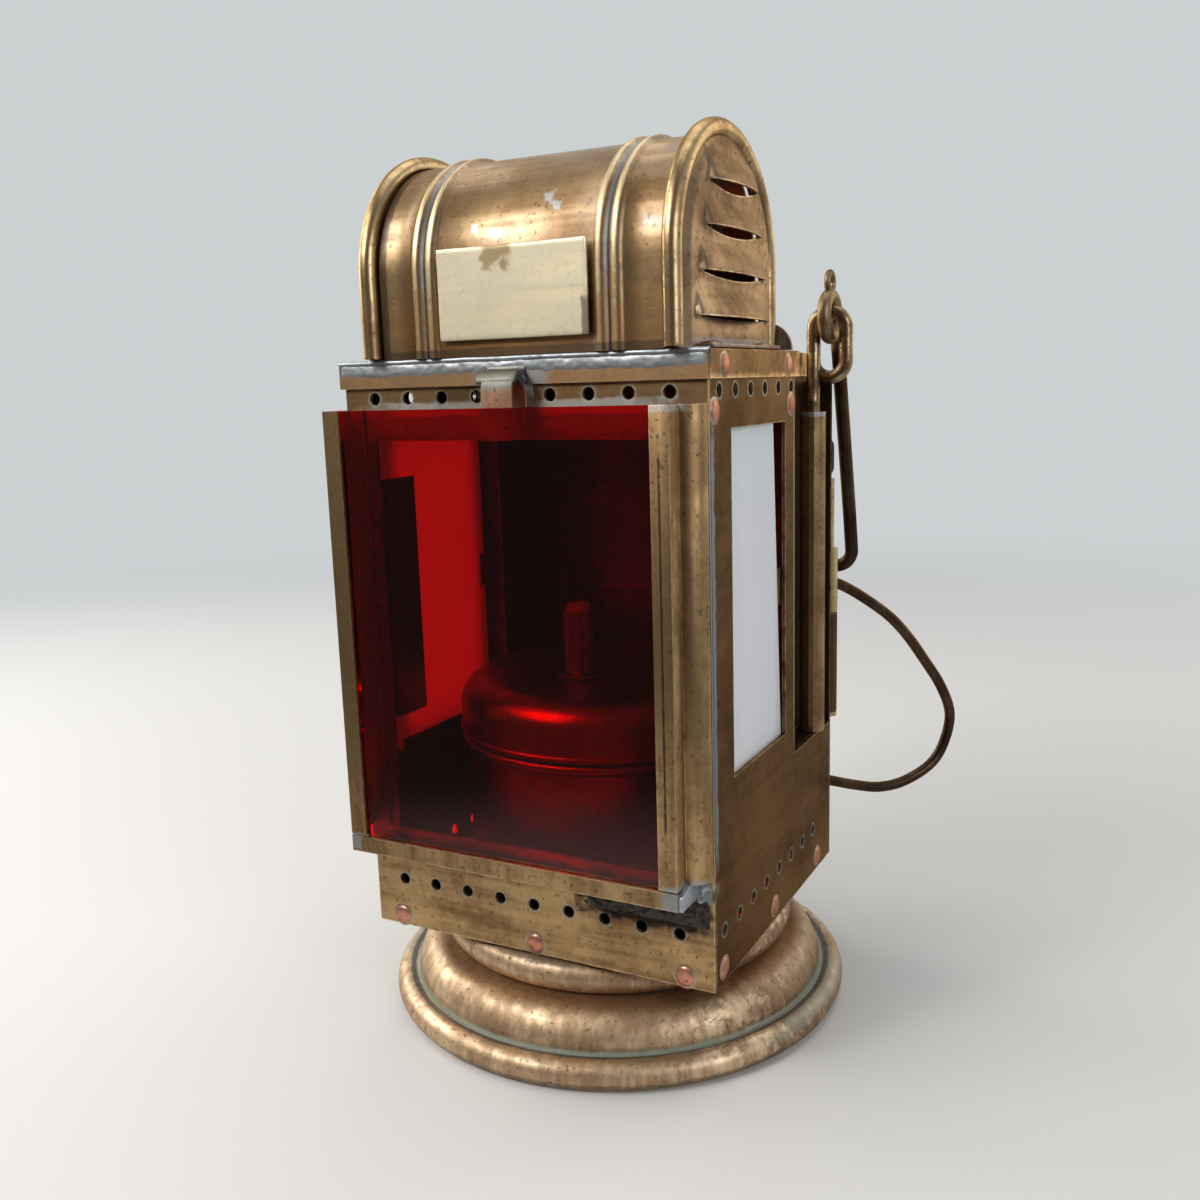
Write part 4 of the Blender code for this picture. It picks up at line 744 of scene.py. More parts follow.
# Side, rear, door and corner sheets: the front's brass painted about three times darker, as shade on the
# sides away from the main light, over their own tarnish, solder and bloom.
sheet_side_painted_shade = brass(
    "brass_side_painted_shade", (0.165, 0.098, 0.058), (0.075, 0.043, 0.026), specks=0.25, cloud=26.0, rows=SIDE_ROWS,
    stretch=(1, 0.06, 1), streaks=0.4, shift=(0.3, 0.1, 0.2), wear=0.6,
    patches=[
        ((46, -42.4, 103), (3, 2.1, 58), SOLDER_BLUE, 0.95, 1.2),
        ((46, 11.5, 110), (3, 0.7, 46), BLOOM_GREEN, 0.7, 0.6)])
sheet_inner = brass(
    "brass_inside", (0.34, 0.25, 0.14), (0.16, 0.11, 0.07), specks=0.8, wear=0.2, shift=(0.7, 0.3, 0.5))
font_brass = brass(
    "brass_font", (0.40, 0.30, 0.18), (0.24, 0.17, 0.10), specks=0.3, streaks=0.2, wear=0.3,
    shift=(0.2, 0.8, 0.5), gloss=0.04)
tube_brass = brass(
    "brass_tube", (0.46, 0.30, 0.15), (0.22, 0.13, 0.065), cloud=90.0, shift=(0.1, 0.5, 0.9), wear=0.9,
    patches=[
        ((44, 32.8, 149.5), (8, 8, 1.6), SOLDER_GREY, 0.8, 0.8)])
# Pane clips: copper brightened about 1.8 times, as painted light against the shade inside the body.
clip_copper_painted_light = brass("copper_clip_painted_light", (0.62, 0.30, 0.17), (0.30, 0.14, 0.08), wear=0.4)
cap_brass = brass(
    "brass_cap", (0.82, 0.52, 0.275), (0.44, 0.26, 0.125), stretch=(0.06, 1, 1), shift=(0.2, 0.4, 0.1),
    wear=0.5,
    patches=[
        ((0, FRONT_FACE, 165.0), (60, 3.0, 3.4), SOLDER_BLUE, 0.9, 0.5),
        ((0, -44.6, 162.6), (11, 1.2, 6), SOLDER_GREY, 0.9, 0.5),
        # Painted shade: the next patch darkens the cap's right side, and the one after it the cap's top round
        # the foot of the roof.
        ((47.4, -18, 162.0), (1.2, 40, 3.6), (0.17, 0.098, 0.05), 0.85, 0.8),
        ((0, -17.8, 165.0), (44, 29.5, 1.2), CREASE_SHADE, 0.8, 0.5)])
tongue_copper = brass(
    "copper_tongue", (0.55, 0.33, 0.22), (0.34, 0.185, 0.115), balance=0.45, wear=0.3, gloss=-0.12,
    patches=[
        ((0, -47, 160.8), (8, 8, 4.2), SOLDER_DULL, 0.95, 0.5)])
frame_brass = brass(
    "brass_frame", (0.56, 0.375, 0.185), (0.28, 0.17, 0.082), stretch=(1, 1, 0.05), streaks=0.9,
    shift=(0.5, 0.6, 0.1), wear=1.0, wear_radius=0.0006,
    patches=[
        ((39.4, -54, 103), (0.32, 3, 50), SOOT, 0.8, 2.2),
        ((42, -50, 50.0), (4.5, 6, 3.4), SOLDER_GREY, 0.85, 0.5),
        ((-44, -50, 50), (2.2, 6, 2.6), SOLDER_GREY, 0.8, 0.5),
        ((39, -50, 153.2), (5, 6, 1.2), SOLDER_GREY, 0.5, 0.8)])
hinge_brass = brass("brass_hinge", (0.70, 0.55, 0.28), (0.36, 0.24, 0.11), balance=0.46, cloud=80.0, wear=0.9)
tinned = brass("tinned_grey", (0.30, 0.30, 0.295), (0.14, 0.13, 0.12), wear=0.3, shift=(0.15, 0.25, 0.35))
print("body finishes ready")

# %% [markdown]
# ### The foot and the roof
# Hands and cloths kept these two brighter. The foot's stains follow its rings, and the roof's
# beads are rubbed to gold with solder lying between them. Painted shade darkens the foot's
# right side and its joins, and the roof's foot and left end.

# %% Finishes of the foot and the roof
foot_brass = brass(
    "brass_foot", (0.72, 0.54, 0.345), (0.38, 0.25, 0.148), balance=0.52, cloud=30.0, stretch=(1, 1, 0.05),
    streaks=0.9, shift=(0.1, 0.9, 0.4), wear=0.2, gloss=-0.09, wax=0.35,
    bands=[
        # Painted shade: the second band darkens the join where the body stands on the foot, and the last band
        # the foot's edge on the floor.
        (45.0, 15.0, 6.0, 2.4, (0.24, 0.115, 0.05), 0.7, 0.7), (44.0, 24.2, 9.0, 1.6, CREASE_SHADE, 0.7, 0.6),
        (53.7, 5.6, 1.9, 2.4, BLOOM_WHITE, 0.95, 0.8), (55.6, 7.0, 1.0, 1.0, (0.10, 0.105, 0.11), 0.85, 0.8),
        (59.4, 1.4, 1.4, 1.6, CREASE_SHADE, 0.5, 0.8)],
    patches=[
        # Painted shade: the first patch darkens the foot's whole right side.
        ((52, 6, 12), (22, 40, 14), (0.20, 0.108, 0.05), 0.65, 3.0),
        ((57, -6, 6.6), (4, 34, 2.2), BLOOM_GREEN, 0.45, 2.2),
        ((-54, -24, 6.6), (5, 22, 2.2), BLOOM_GREEN, 0.5, 2.2)])
roof_brass = brass(
    "brass_roof", (0.40, 0.265, 0.135), (0.22, 0.13, 0.06), cloud=34.0, stretch=(0.05, 1, 1), streaks=0.8,
    shift=(0.8, 0.2, 0.7), gloss=-0.03, wear=0.3, wax=0.55,
    patches=[
        *[((x, -18, 180), (0.75, 60, 60), SOLDER_BLUE, 0.75, 0.6) for x in (-20.9, 24.9)],
        *[((x, -18, 180), (0.7, 60, 60), RUBBED_GOLD, 0.6, 0.8) for x in (-22.75, -19.05, 23.05, 26.75)],
        ((9, -40, 197.2), (1.8, 5, 1.6), SOLDER_GREY, 0.75, 2.4),
        ((12, -41, 195.0), (1.2, 5, 1.2), SOLDER_GREY, 0.7, 2.4),
        ((-8, -43, 191.6), (1.2, 4, 1.6), BLOOM_WHITE, 0.6, 3.0),
        ((0, -44.5, 170.5), (60, 3, 8.5), (0.36, 0.185, 0.065), 0.6, 3.4),
        # Painted shade: a dark line in the crease inside the left rim, and a dark band along the roof's foot
        # on the cap.
        ((-32.5, -18, 180), (1.6, 60, 60), CREASE_SHADE, 0.85, 0.8),
        ((0, -18, 165.6), (60, 60, 1.2), CREASE_SHADE, 0.7, 0.9)])
roof_end_brass = brass(
    "brass_roof_end", (0.33, 0.225, 0.14), (0.17, 0.108, 0.065), cloud=46.0, stretch=(1, 0.05, 1),
    streaks=0.4, shift=(0.6, 0.7, 0.2), wear=0.7,
    patches=[
        ((40, -18, 166), (8, 28, 1.2), SOLDER_BLUE, 0.5, 1.2)])
roof_rim_brass = brass(
    "brass_roof_rim", (0.52, 0.375, 0.20), (0.26, 0.16, 0.078), balance=0.46, cloud=90.0, streaks=0.3,
    shift=(0.9, 0.5, 0.6), wear=0.0, gloss=0.05)
plate_brass = brass(
    "brass_plate", (0.96, 0.86, 0.62), (0.80, 0.68, 0.44), balance=0.42, specks=0.18, stretch=(0.05, 1, 1),
    streaks=1.1, shift=(0.4, 0.3, 0.9), wear=0.5, metallic=0.62,
    patches=[
        ((-0.5, -46, 187.2), (4.6, 3, 4.6), (0.36, 0.23, 0.11), 0.85, 2.4),
        ((20.4, -46, 172), (1.6, 3, 5.0), (0.16, 0.10, 0.05), 0.8, 1.2),
        # Painted shadow: a thin dark line along the plate's top edge.
        ((2, -46, 188.2), (18, 3, 0.8), (0.20, 0.13, 0.07), 0.6, 1.6)])
print("roof and foot finishes ready")

# %% [markdown]
# ### Solder, tar, wires and rivets
# The same function makes these with other colours. A rivet's green border comes from a number
# that is stored on its mesh.

# %% Finishes of the solder, the rivets and the wires
solder = brass(
    "solder_grey", (0.46, 0.485, 0.50), (0.25, 0.265, 0.28), dark=(0.09, 0.09, 0.09), balance=0.46,
    specks=0.3, cloud=120.0, streaks=0.0, wear=0.0, metallic=0.8, bump=0.00010, gloss=-0.10,
    glance=SILVER_GLANCE)
tar = brass(
    "tar_black", (0.030, 0.028, 0.028), (0.015, 0.014, 0.014), specks=0.0, cloud=150.0, streaks=0.0, wear=0.0,
    metallic=0.0, bump=0.0002, gloss=0.1)
wire_brown = brass(
    "wire_dark", (0.12, 0.078, 0.046), (0.045, 0.028, 0.018), balance=0.54, specks=0.4, cloud=70.0,
    streaks=0.2, wear=0.0, shift=(0.33, 0.11, 0.77), gloss=0.06,
    patches=[
        ((x, 37, 175), (6, 12, 12), (0.36, 0.255, 0.15), 0.7, 1.4) for x in (47, -47)])
wire_worn = brass(
    "wire_worn", (0.42, 0.30, 0.18), (0.11, 0.07, 0.044), specks=0.4, cloud=120.0, streaks=0.2, wear=0.0,
    shift=(0.73, 0.51, 0.17), gloss=0.08)

def rivet_finish():
    """Copper in the middle and green bloom at the foot, by the mesh's own attribute."""
    material = brass("rivet_copper", (0.60, 0.275, 0.18), (0.36, 0.15, 0.09), balance=0.47, cloud=160.0,
                     streaks=0.0, wear=0.0, metallic=0.9)
    tree = material.node_tree
    base = tree.nodes["Principled BSDF"].inputs["Base Color"]
    rim = add_node(tree, "Attribute")
    rim.attribute_name = "rim"
    fray = ramp(tree, noise_node(tree, spot(tree), 700.0, 3.0, 0.6), 0.25, 0.55)
    bloom = times(tree, rim.outputs["Fac"], fray)
    feed(tree, mix_colour(tree, bloom, base.links[0].from_socket, BLOOM_GREEN), base)
    return material


copper = rivet_finish()
print("metal finishes:", len([m for m in bpy.data.materials if m.use_nodes]))

# %% [markdown]
# ### Red glass
# Ruby glass is clear but very dark: light passes twice before it comes back from inside. The
# slab refracts, and shadow rays pass with a red tint, so that daylight reaches the font.
# Fine dust on its face is a slight change of roughness, which only the reflections show.

# %% Glass and cotton finishes
RUBY = (0.96, 0.003, 0.004)
RUBY_DEEP = (0.86, 0.002, 0.003)
RUBY_SHADE = (0.10, 0.002, 0.002)
OPAL_GLOW = 0.46


def ruby_glass():
    material, tree, shader = new_material("glass_ruby", Metallic=0.0, Transmission_Weight=1.0, IOR=1.50,
                                          Specular_IOR_Level=0.14)
    here = spot(tree)
    cloudy = noise_node(tree, here, 26.0, 3.0, 0.6)
    dust = ramp(tree, noise_node(tree, here, 1400.0, 2.0, 0.5), 0.66, 0.76)
    smear = ramp(tree, noise_node(tree, here, 60.0, 4.0, 0.6, 1.2), 0.45, 0.75)
    fill(tree, shader, Base_Color=mix_colour(tree, cloudy, RUBY, RUBY_DEEP),
         Roughness=plus(tree, times(tree, dust, 0.16), times(tree, smear, 0.012)))
    clear = add_node(tree, "BsdfTransparent", Color=RUBY_SHADE)
    mix_shaders(tree, add_node(tree, "LightPath").outputs["Is Shadow Ray"], shader, clear)
    return material


def opal_glass():
    """Milk glass: a white body that lets some light through, under a smooth face, with painted reflections in
    soft upright bluish bands.
    """
    material, tree, shader = new_material("glass_opal", Roughness=0.16, IOR=1.50)
    # Painted reflection: soft upright bands of bluish white in the pane's colour.
    bands = noise_node(tree, vector_node(tree, "MULTIPLY", spot(tree), (1, 1, 0.05)), 130.0, 2.0, 0.5)
    white = mix_colour(tree, bands, (0.89, 0.93, 0.97), (0.97, 0.98, 1.0))
    feed(tree, white, shader.inputs["Base Color"])
    mix_shaders(tree, OPAL_GLOW, shader, add_node(tree, "BsdfTranslucent", Color=white))
    return material


def cotton():
    material, tree, shader = new_material("cotton_wick", Roughness=0.95)
    weave = add_node(tree, "TexWave", Vector=spot(tree), Scale=900.0, Distortion=1.5).outputs["Fac"]
    relief = add_node(tree, "Bump", Distance=0.0002, Height=weave)
    fill(tree, shader, Base_Color=mix_colour(tree, weave, (0.34, 0.29, 0.22), (0.60, 0.55, 0.46)),
         Normal=relief.outputs["Normal"])
    return material


red_glass = ruby_glass()
opal = opal_glass()
wick_cotton = cotton()
print("glass finishes ready")

# %% [markdown]
# ## Finishes for the solids that stay
# The flat sheets, the panes and the small fittings are right as they are. Only their material
# changes.

# %% Assign finishes
KEPT = [
    (sheet_front, "front_sheet"),
    (sheet_side_painted_shade, "side_sheet_left side_sheet_right rear_sheet corner_recess_left corner_recess_right door"),
    (sheet_inner, "floor_plate foot_plate pane_guide_left pane_guide_right pane_ledge_left pane_ledge_right"
                  " door_spring wick_tube"),
    (tube_brass, "corner_tube_left corner_tube_right"), (opal, "opal_pane_left opal_pane_right"),
    (clip_copper_painted_light, "pane_clip_left pane_clip_right"), (cap_brass, "cap"),
    (tinned, "dome_ear_left dome_ear_right pin_tab"),
    (frame_brass, "frame_channel_left frame_rail door_knob"), (red_glass, "red_glass"),
    (wick_cotton, "wick"), (hinge_brass, "hinge_leaf hinge_pin"),
]


def dress(node, material):
    mesh = nodes[node].data
    if mesh.materials:
        for index in range(len(mesh.materials)):
            mesh.materials[index] = material
    else:
        mesh.materials.append(material)


for finish, names in KEPT:
    for node_name in names.split():
        dress(node_name, finish)
print("kept solids dressed:", sum(len(names.split()) for finish, names in KEPT))

# %% [markdown]
# ## The foot
# The real foot is one disc of brass, spun on a lathe over a chuck: a ring under the body, a
# seam, a bulge, a hollow and a rim rolled round a wire. A section spun about the axis makes
# it in one step, so every curve in it is as round as the lathe's.

# %% Foot
WIRED_RIM, RIM_CURVE = (56.3, 3.6), 3.6
FOOT_SHEET = 1.0


def foot_section():
    outer = arc_points((42.0, 20.2), 4.2, 90, -65, 12)
    outer += [(45.3, 16.05)]
    outer += [(45.2 + 8.6 * math.sin(math.radians(a)), 7.0 + 9.0 * math.cos(math.radians(a)))
              for a in range(6, 91, 6)]
    outer += [(53.72, 6.2), (53.6, 5.4)]
    bead = arc_points(WIRED_RIM, RIM_CURVE, 138, -60, 22)
    tread = [(57.3, 0), (55.3, 0)]
    underside = arc_points(WIRED_RIM, RIM_CURVE, -120, -165, 4)
    inner = [(radius - FOOT_SHEET, height) for radius, height in outer[1:]]
    return outer + bead + tread + underside + inner[::-1] + [(42.0, 23.4), (42.0, 24.4)]


foot = turn_section("foot_spun", foot_section(), steps=160)
hand_over(foot, foot_brass, stands_for=["foot"], angle=40)

# %% [markdown]
# ## The barrel roof
# The roof is a sheet rolled to a half round, with two pairs of beads pressed into it to keep
# it stiff. One line along its length holds the beads. It is swung half a turn about the
# roof's axis, and its two ends are then drawn straight down to the cap.

# %% Barrel
ROOF_X, ROOF_Y, ROOF_Z = 2.0, -17.85, 183.1
ROOF_RADIUS = 26.9
ROOF_HALF = 35.2
ROOF_WALL = 18.3
BEAD_WIDTH = 3.7
BEAD_RISE = 1.1


def roof_line():
    """(place along the roof, rise of the sheet), in millimetres."""
    line = [(-ROOF_HALF, 0), (-ROOF_HALF + 4, 0)]
    for start in (-26.6, 26.6 - 2 * BEAD_WIDTH):
        for k in range(17):
            share = k / 8
            line.append((start + BEAD_WIDTH * share, BEAD_RISE * abs(math.sin(math.pi * share)) ** 0.9))
    line += [(ROOF_HALF - 4, 0), (ROOF_HALF, 0)]
    return sorted(line)


def roll_roof():
    points = [mm(ROOF_X + x, ROOF_Y - ROOF_RADIUS - rise, ROOF_Z) for x, rise in roof_line()]
    piece = draw_line("roof_barrel", points)
    edit_mesh()
    bpy.ops.mesh.extrude_region_move(TRANSFORM_OT_translate={"value": mm(0, 0, -ROOF_WALL)})
    bpy.ops.mesh.select_all(action="DESELECT")
    leave_mesh()
    for point in piece.data.vertices:
        point.select = point.co.z > (ROOF_Z - 1) * MM
    edit_mesh(everything=False)
    bpy.ops.mesh.spin(steps=56, angle=HALF_TURN, center=mm(ROOF_X, ROOF_Y, ROOF_Z), axis=(1, 0, 0))
    leave_mesh()
    for point in piece.data.vertices:
        point.select = point.co.y > (ROOF_Y + ROOF_RADIUS - 0.2) * MM and point.co.z < (ROOF_Z + 0.01) * MM
    edit_mesh(everything=False)
    bpy.ops.mesh.extrude_region_move(TRANSFORM_OT_translate={"value": mm(0, 0, -ROOF_WALL)})
    leave_mesh()
    weld_and_face_out()
    apply_step(piece, "SOLIDIFY", thickness=0.9 * MM, offset=-1)
    return piece


barrel = roll_roof()
hand_over(barrel, roof_brass, stands_for=["dome_barrel"])

# %% [markdown]
# ## The roof's ends
# Each end is a plate with its edge rolled round a wire, and four louvres pressed through it.
# A louvre is a slit whose upper lip is pushed out in a soft hood. So the plate is a fine
# grid: its edges are split along each slit, the points above the slit are drawn out, and the
# ones below sag a little. The grid is then trimmed to the arch.

# %% Louvred end plate
END_RADIUS = 27.9
RIM_RADIUS = 2.1
SLITS = [(27.1, 198.9), (32.3, 189.7), (37.5, 180.5), (42.7, 171.3)]
SLIT_SAG = [1.5, 1.4, 1.2, 0.35]
GRID_STEP = 0.5
LIP_REACH = 2.9
HOOD_HEIGHT, SAG_HEIGHT = 6.8, 4.0
DISH_RISE = 1.2
END_X = ROOF_X + ROOF_HALF + 0.3
PLATE_X = END_X + RIM_RADIUS * 1.5


def end_grid():
    """A flat upright grid in the YZ plane, wider than the arch."""
    wide = 2 * (END_RADIUS + 1)
    tall = END_RADIUS + ROOF_WALL + 1
    piece = add_grid("roof_plate", int(wide / GRID_STEP), int(tall / GRID_STEP), wide * MM, tall * MM)
    put_in_place(piece, (QUARTER_TURN, 0, QUARTER_TURN), mm(0, ROOF_Y, ROOF_Z - ROOF_WALL + tall / 2))
    return piece


def snap_slits(piece):
    """Moves the grid's nearest row onto each slit and splits its edges there."""
    heights = sorted({round(point.co.z / MM, 4) for point in piece.data.vertices})
    for width, height in SLITS:
        row = min(heights, key=lambda value: abs(value - height))
        for point in piece.data.vertices:
            if abs(point.co.z / MM - row) < 0.01:
                point.co.z = height * MM
        for edge in piece.data.edges:
            ends = [piece.data.vertices[i].co for i in edge.vertices]
            edge.select = all(abs(end.z / MM - height) < 0.01 and abs(end.y / MM - ROOF_Y) < width / 2
                              for end in ends)
        for item in [*piece.data.vertices, *piece.data.polygons]:
            item.select = False
        for edge in piece.data.edges:
            if edge.select:
                for i in edge.vertices:
                    piece.data.vertices[i].select = True
        take_up(piece)
        edit_mesh("EDGE", everything=False)
        bpy.ops.mesh.edge_split(type="EDGE")
        leave_mesh()


def lower_side(piece):
    """The points that belong only to faces under a slit."""
    below = {}
    for face in piece.data.polygons:
        middle = face.center.z
        for i in face.vertices:
            below.setdefault(i, []).append(middle < piece.data.vertices[i].co.z)
    return {i for i, sides in below.items() if all(sides)}


def press_louvres(piece):
    under = lower_side(piece)
    for i, point in enumerate(piece.data.vertices):
        y = point.co.y / MM - ROOF_Y
        z = point.co.z / MM
        out = 0.0
        sag = 0.0
        for (width, height), drop in zip(SLITS, SLIT_SAG):
            half = width / 2
            share = max(0.0, 1 - (y / half) ** 2)
            rise = z - height
            if rise >= -0.01 and not (abs(rise) < 0.01 and i in under):
                side = clamp((half - abs(y)) / 1.2) ** 0.5
                fade = ease(max(0.0, 1 - rise / HOOD_HEIGHT))
                out = max(out, LIP_REACH * (0.35 * side + 0.65 * share) * fade)
            elif -SAG_HEIGHT < rise < 0.02:
                fade = (1 + rise / SAG_HEIGHT) ** 2
                sag = max(sag, drop * share * fade)
                out = min(out, -0.5 * share * fade) if out <= 0 else out
        point.co.x += out * MM
        point.co.z -= sag * MM


def trim_to_arch(piece):
    """Deletes the faces outside the arch; the rolled rim hides the stepped border."""
    for face in piece.data.polygons:
        y, z = face.center.y / MM - ROOF_Y, face.center.z / MM - ROOF_Z
        inside = math.hypot(y, z) < END_RADIUS if z > 0 else abs(y) < END_RADIUS
        face.select = not inside
    take_up(piece)
    edit_mesh("FACE", everything=False)
    bpy.ops.mesh.delete(type="FACE")
    leave_mesh()


def dish_plate(piece):
    """Raises the plate's middle over a soft step inside the rim."""
    for point in piece.data.vertices:
        y, z = point.co.y / MM - ROOF_Y, point.co.z / MM - ROOF_Z
        inward = END_RADIUS - (math.hypot(y, z) if z > 0 else abs(y))
        point.co.x += DISH_RISE * MM * ease(clamp((inward - 1.6) / 3.4))


def make_roof_end():
    plate = end_grid()
    snap_slits(plate)
    press_louvres(plate)
    dish_plate(plate)
    trim_to_arch(plate)
    apply_step(plate, "SOLIDIFY", thickness=0.6 * MM, offset=-1)
    plate.data.transform(Matrix.Translation(mm(PLATE_X, 0, 0)))
    return plate


right_plate = make_roof_end()
print("louvred plate:", len(right_plate.data.polygons), "faces")

# %% [markdown]
# ### Rim and foot of the end plate
# The rolled edge is a wire bent along the arch. The foot is a narrow strip bent outwards, by
# which the end is riveted to the cap.

# %% Rim and flange
RIM_STEPS = 12
FLANGE_HALF = 20.9
FLANGE_BEND = [(-0.3, 166.9), (-0.25, 165.6), (0.3, 165.25), (4.8, 165.22)]


def rim_points():
    low = ROOF_Z - ROOF_WALL + 0.3
    arch = [(ROOF_Y + y, ROOF_Z + z) for y, z in arc_points((0, 0), END_RADIUS, 0, 180, 60)]
    leg = [low + (ROOF_Z - low) * k / RIM_STEPS for k in range(RIM_STEPS)]
    right = [(ROOF_Y + END_RADIUS, z) for z in leg]
    left = [(ROOF_Y - END_RADIUS, z) for z in reversed(leg)]
    return [mm(END_X + RIM_RADIUS, y, z) for y, z in right + arch + left]


right_rim = bend_wire("roof_rim_right", rim_points(), RIM_RADIUS * MM, sides=18)
flange_path = [mm(PLATE_X + x, ROOF_Y - FLANGE_HALF, z) for x, z in FLANGE_BEND]
right_flange = fold_sheet("roof_flange_right", flange_path, mm(0, 2 * FLANGE_HALF, 0), 0.8 * MM)
TO_AXIS = Matrix.Translation(mm(ROOF_X, ROOF_Y, 0))
HALF_ROUND = TO_AXIS @ Matrix.Rotation(HALF_TURN, 4, "Z") @ TO_AXIS.inverted()
right_end = join_pieces("roof_end_right", [right_plate, right_flange])
left_end = copy_piece(right_end, "roof_end_left", HALF_ROUND)
left_rim = copy_piece(right_rim, "roof_rim_left", HALF_ROUND)
for end, rim, side in ((right_end, right_rim, "right"), (left_end, left_rim, "left")):
    hand_over(end, roof_end_brass, stands_for=["dome_end_" + side])
    hand_over(rim, roof_rim_brass)

# %% [markdown]
# ## The number plate
# A thin plate of yellower brass is soldered to the front of the roof. It is bare here. Its
# corners are filed round and its face is a little hollow from the hammer.

# %% Number plate
def number_plate():
    low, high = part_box("number_plate")
    centre = (low + high) / 2
    size = high - low
    piece = add_grid("plate_bare", 36, 18, size.x, size.z)
    for point in piece.data.vertices:
        dent = noise.noise(Vector((point.co.x * 70, point.co.y * 70, 3.1)))
        point.co.z += 0.12 * MM * dent
    apply_step(piece, "SOLIDIFY", thickness=1.1 * MM, offset=-1)
    soften(piece, 0.35 * MM, segments=3)
    put_in_place(piece, (QUARTER_TURN, 0, 0), (centre.x, low.y + 0.2 * MM, centre.z))
    return piece


hand_over(number_plate(), plate_brass, stands_for=["number_plate"], angle=40)

# %% [markdown]
# ## The right channel
# The channel that holds the glass is folded from one strip: a lip over the glass, a wall, and
# a rounded bead at its foot that is soldered to the front.

# %% Right channel
FRONT_SHEET_Y = -43.55
CHANNEL_WALL_X, CHANNEL_SHEET = 41.4, 0.8


def right_channel():
    low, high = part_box("frame_channel_right")
    front = low.y / MM + CHANNEL_SHEET / 2
    bead = arc_points((CHANNEL_WALL_X, FRONT_SHEET_Y - 0.3 - CHANNEL_SHEET / 2), 4.4, -90, 0, 14)
    path = [(low.x / MM, front), (CHANNEL_WALL_X, front), *bead]
    points = [mm(x, y, low.z / MM) for x, y in path]
    return fold_sheet("frame_right_bead", points, Vector((0, 0, high.z - low.z)), CHANNEL_SHEET * MM)


hand_over(right_channel(), frame_brass, stands_for=["frame_channel_right"], angle=40)

# %% [markdown]
# ## The oil font
# The tank and its lid are spun too. They stand behind the glass, where only their round
# edges catch the light.

# %% Font
TANK = 37.5
LID = 38.9


def tank_section():
    low, top = 25.8, 71.0
    bead = arc_points((TANK, top - 1.5), 1.5, 90, -90, 10)
    return [(0, low + 1), (TANK - 1.6, low + 1), (TANK - 1, low + 1.6),
            (TANK - 1, top - 0.2), *bead, (TANK, low + 1),
            (TANK - 0.8, low), (0, low)]


def lid_section():
    base, side = 71.3, 78.3
    shoulder = arc_points((LID - 7.2, side), 7.2, 88, 0, 12)
    inner = arc_points((LID - 7.2, side), 6.3, 0, 88, 8)
    outer = [(0, side + 9.2), (12, side + 8.7), (24, side + 7.75), *shoulder, (LID, base + 1.6),
             (LID + 0.35, base + 1.2), (LID + 0.35, base + 0.4), (LID, base)]
    return [*outer, (LID - 0.9, base), *inner, (0, side + 8.3)]


for name, section in (("font_tank", tank_section()), ("font_lid", lid_section())):
    hand_over(turn_section(name + "_spun", section, steps=96), font_brass, stands_for=[name], angle=35)

# %% [markdown]
# ## Eyes, bail and grip
# Thick drawn wire, bent hot. Each route is a smooth curve through a few places, and the wire
# is that curve with a round section.

# %% Eyes in the corner tubes
EYE_X, EYE_Y, PIVOT_Z = 47.2, 37.05, 174.6
TUBE_X, TUBE_Y, TUBE_TOP = 44.1, 32.85, 149.3
WIRE = 1.8
EYE_BEND, EYE_RISE = 4.3, 4.0


def eye_wire(name):
    middle = PIVOT_Z - EYE_BEND - EYE_RISE
    upper = arc_points((EYE_X, middle + EYE_RISE), EYE_BEND, 0, 180, 16)
    lower = arc_points((EYE_X, middle - EYE_RISE), EYE_BEND, 180, 360, 16)
    loop = bend_wire(name, [mm(x, EYE_Y, z) for x, z in upper + lower], WIRE * MM, closed=True)
    inner_leg = EYE_X - EYE_BEND
    route = [(TUBE_X, TUBE_Y, TUBE_TOP - 12), (TUBE_X, TUBE_Y, TUBE_TOP + 0.3),
             (TUBE_X, TUBE_Y, TUBE_TOP + 3.6),
             ((TUBE_X + inner_leg) / 2, (TUBE_Y + EYE_Y) / 2, (TUBE_TOP + middle) / 2),
             (inner_leg, EYE_Y, middle - WIRE), (inner_leg, EYE_Y, middle + WIRE)]
    shank = bend_wire(name + "_shank", smooth_route([mm(*place) for place in route], 8), 1.75 * MM)
    return join_pieces(name, [loop, shank])


MIRROR = Matrix.Scale(-1, 4, (1, 0, 0))
right_eye = eye_wire("eye_right")
left_eye = copy_piece(right_eye, "eye_left", MIRROR)
for eye, side in ((right_eye, "right"), (left_eye, "left")):
    hand_over(eye, wire_worn, stands_for=["ring_eye_" + side], angle=60)

# %% [markdown]
# ### The bail
# It hangs behind the lamp. Its legs spread a little on their way down, and a small loop is
# fixed on its right ring.

# %% Bail
BAIL_LEAN = math.radians(11.70)
BAIL_LEG = 70.5
RING_RADIUS = 5.2
RING_Z = PIVOT_Z - 1.2
BAIL_SPREAD, BAIL_FLARE, BAIL_BEND = 1.2, 60, 5
TIP_RADIUS, TIP_WIRE = 2.4, 0.85


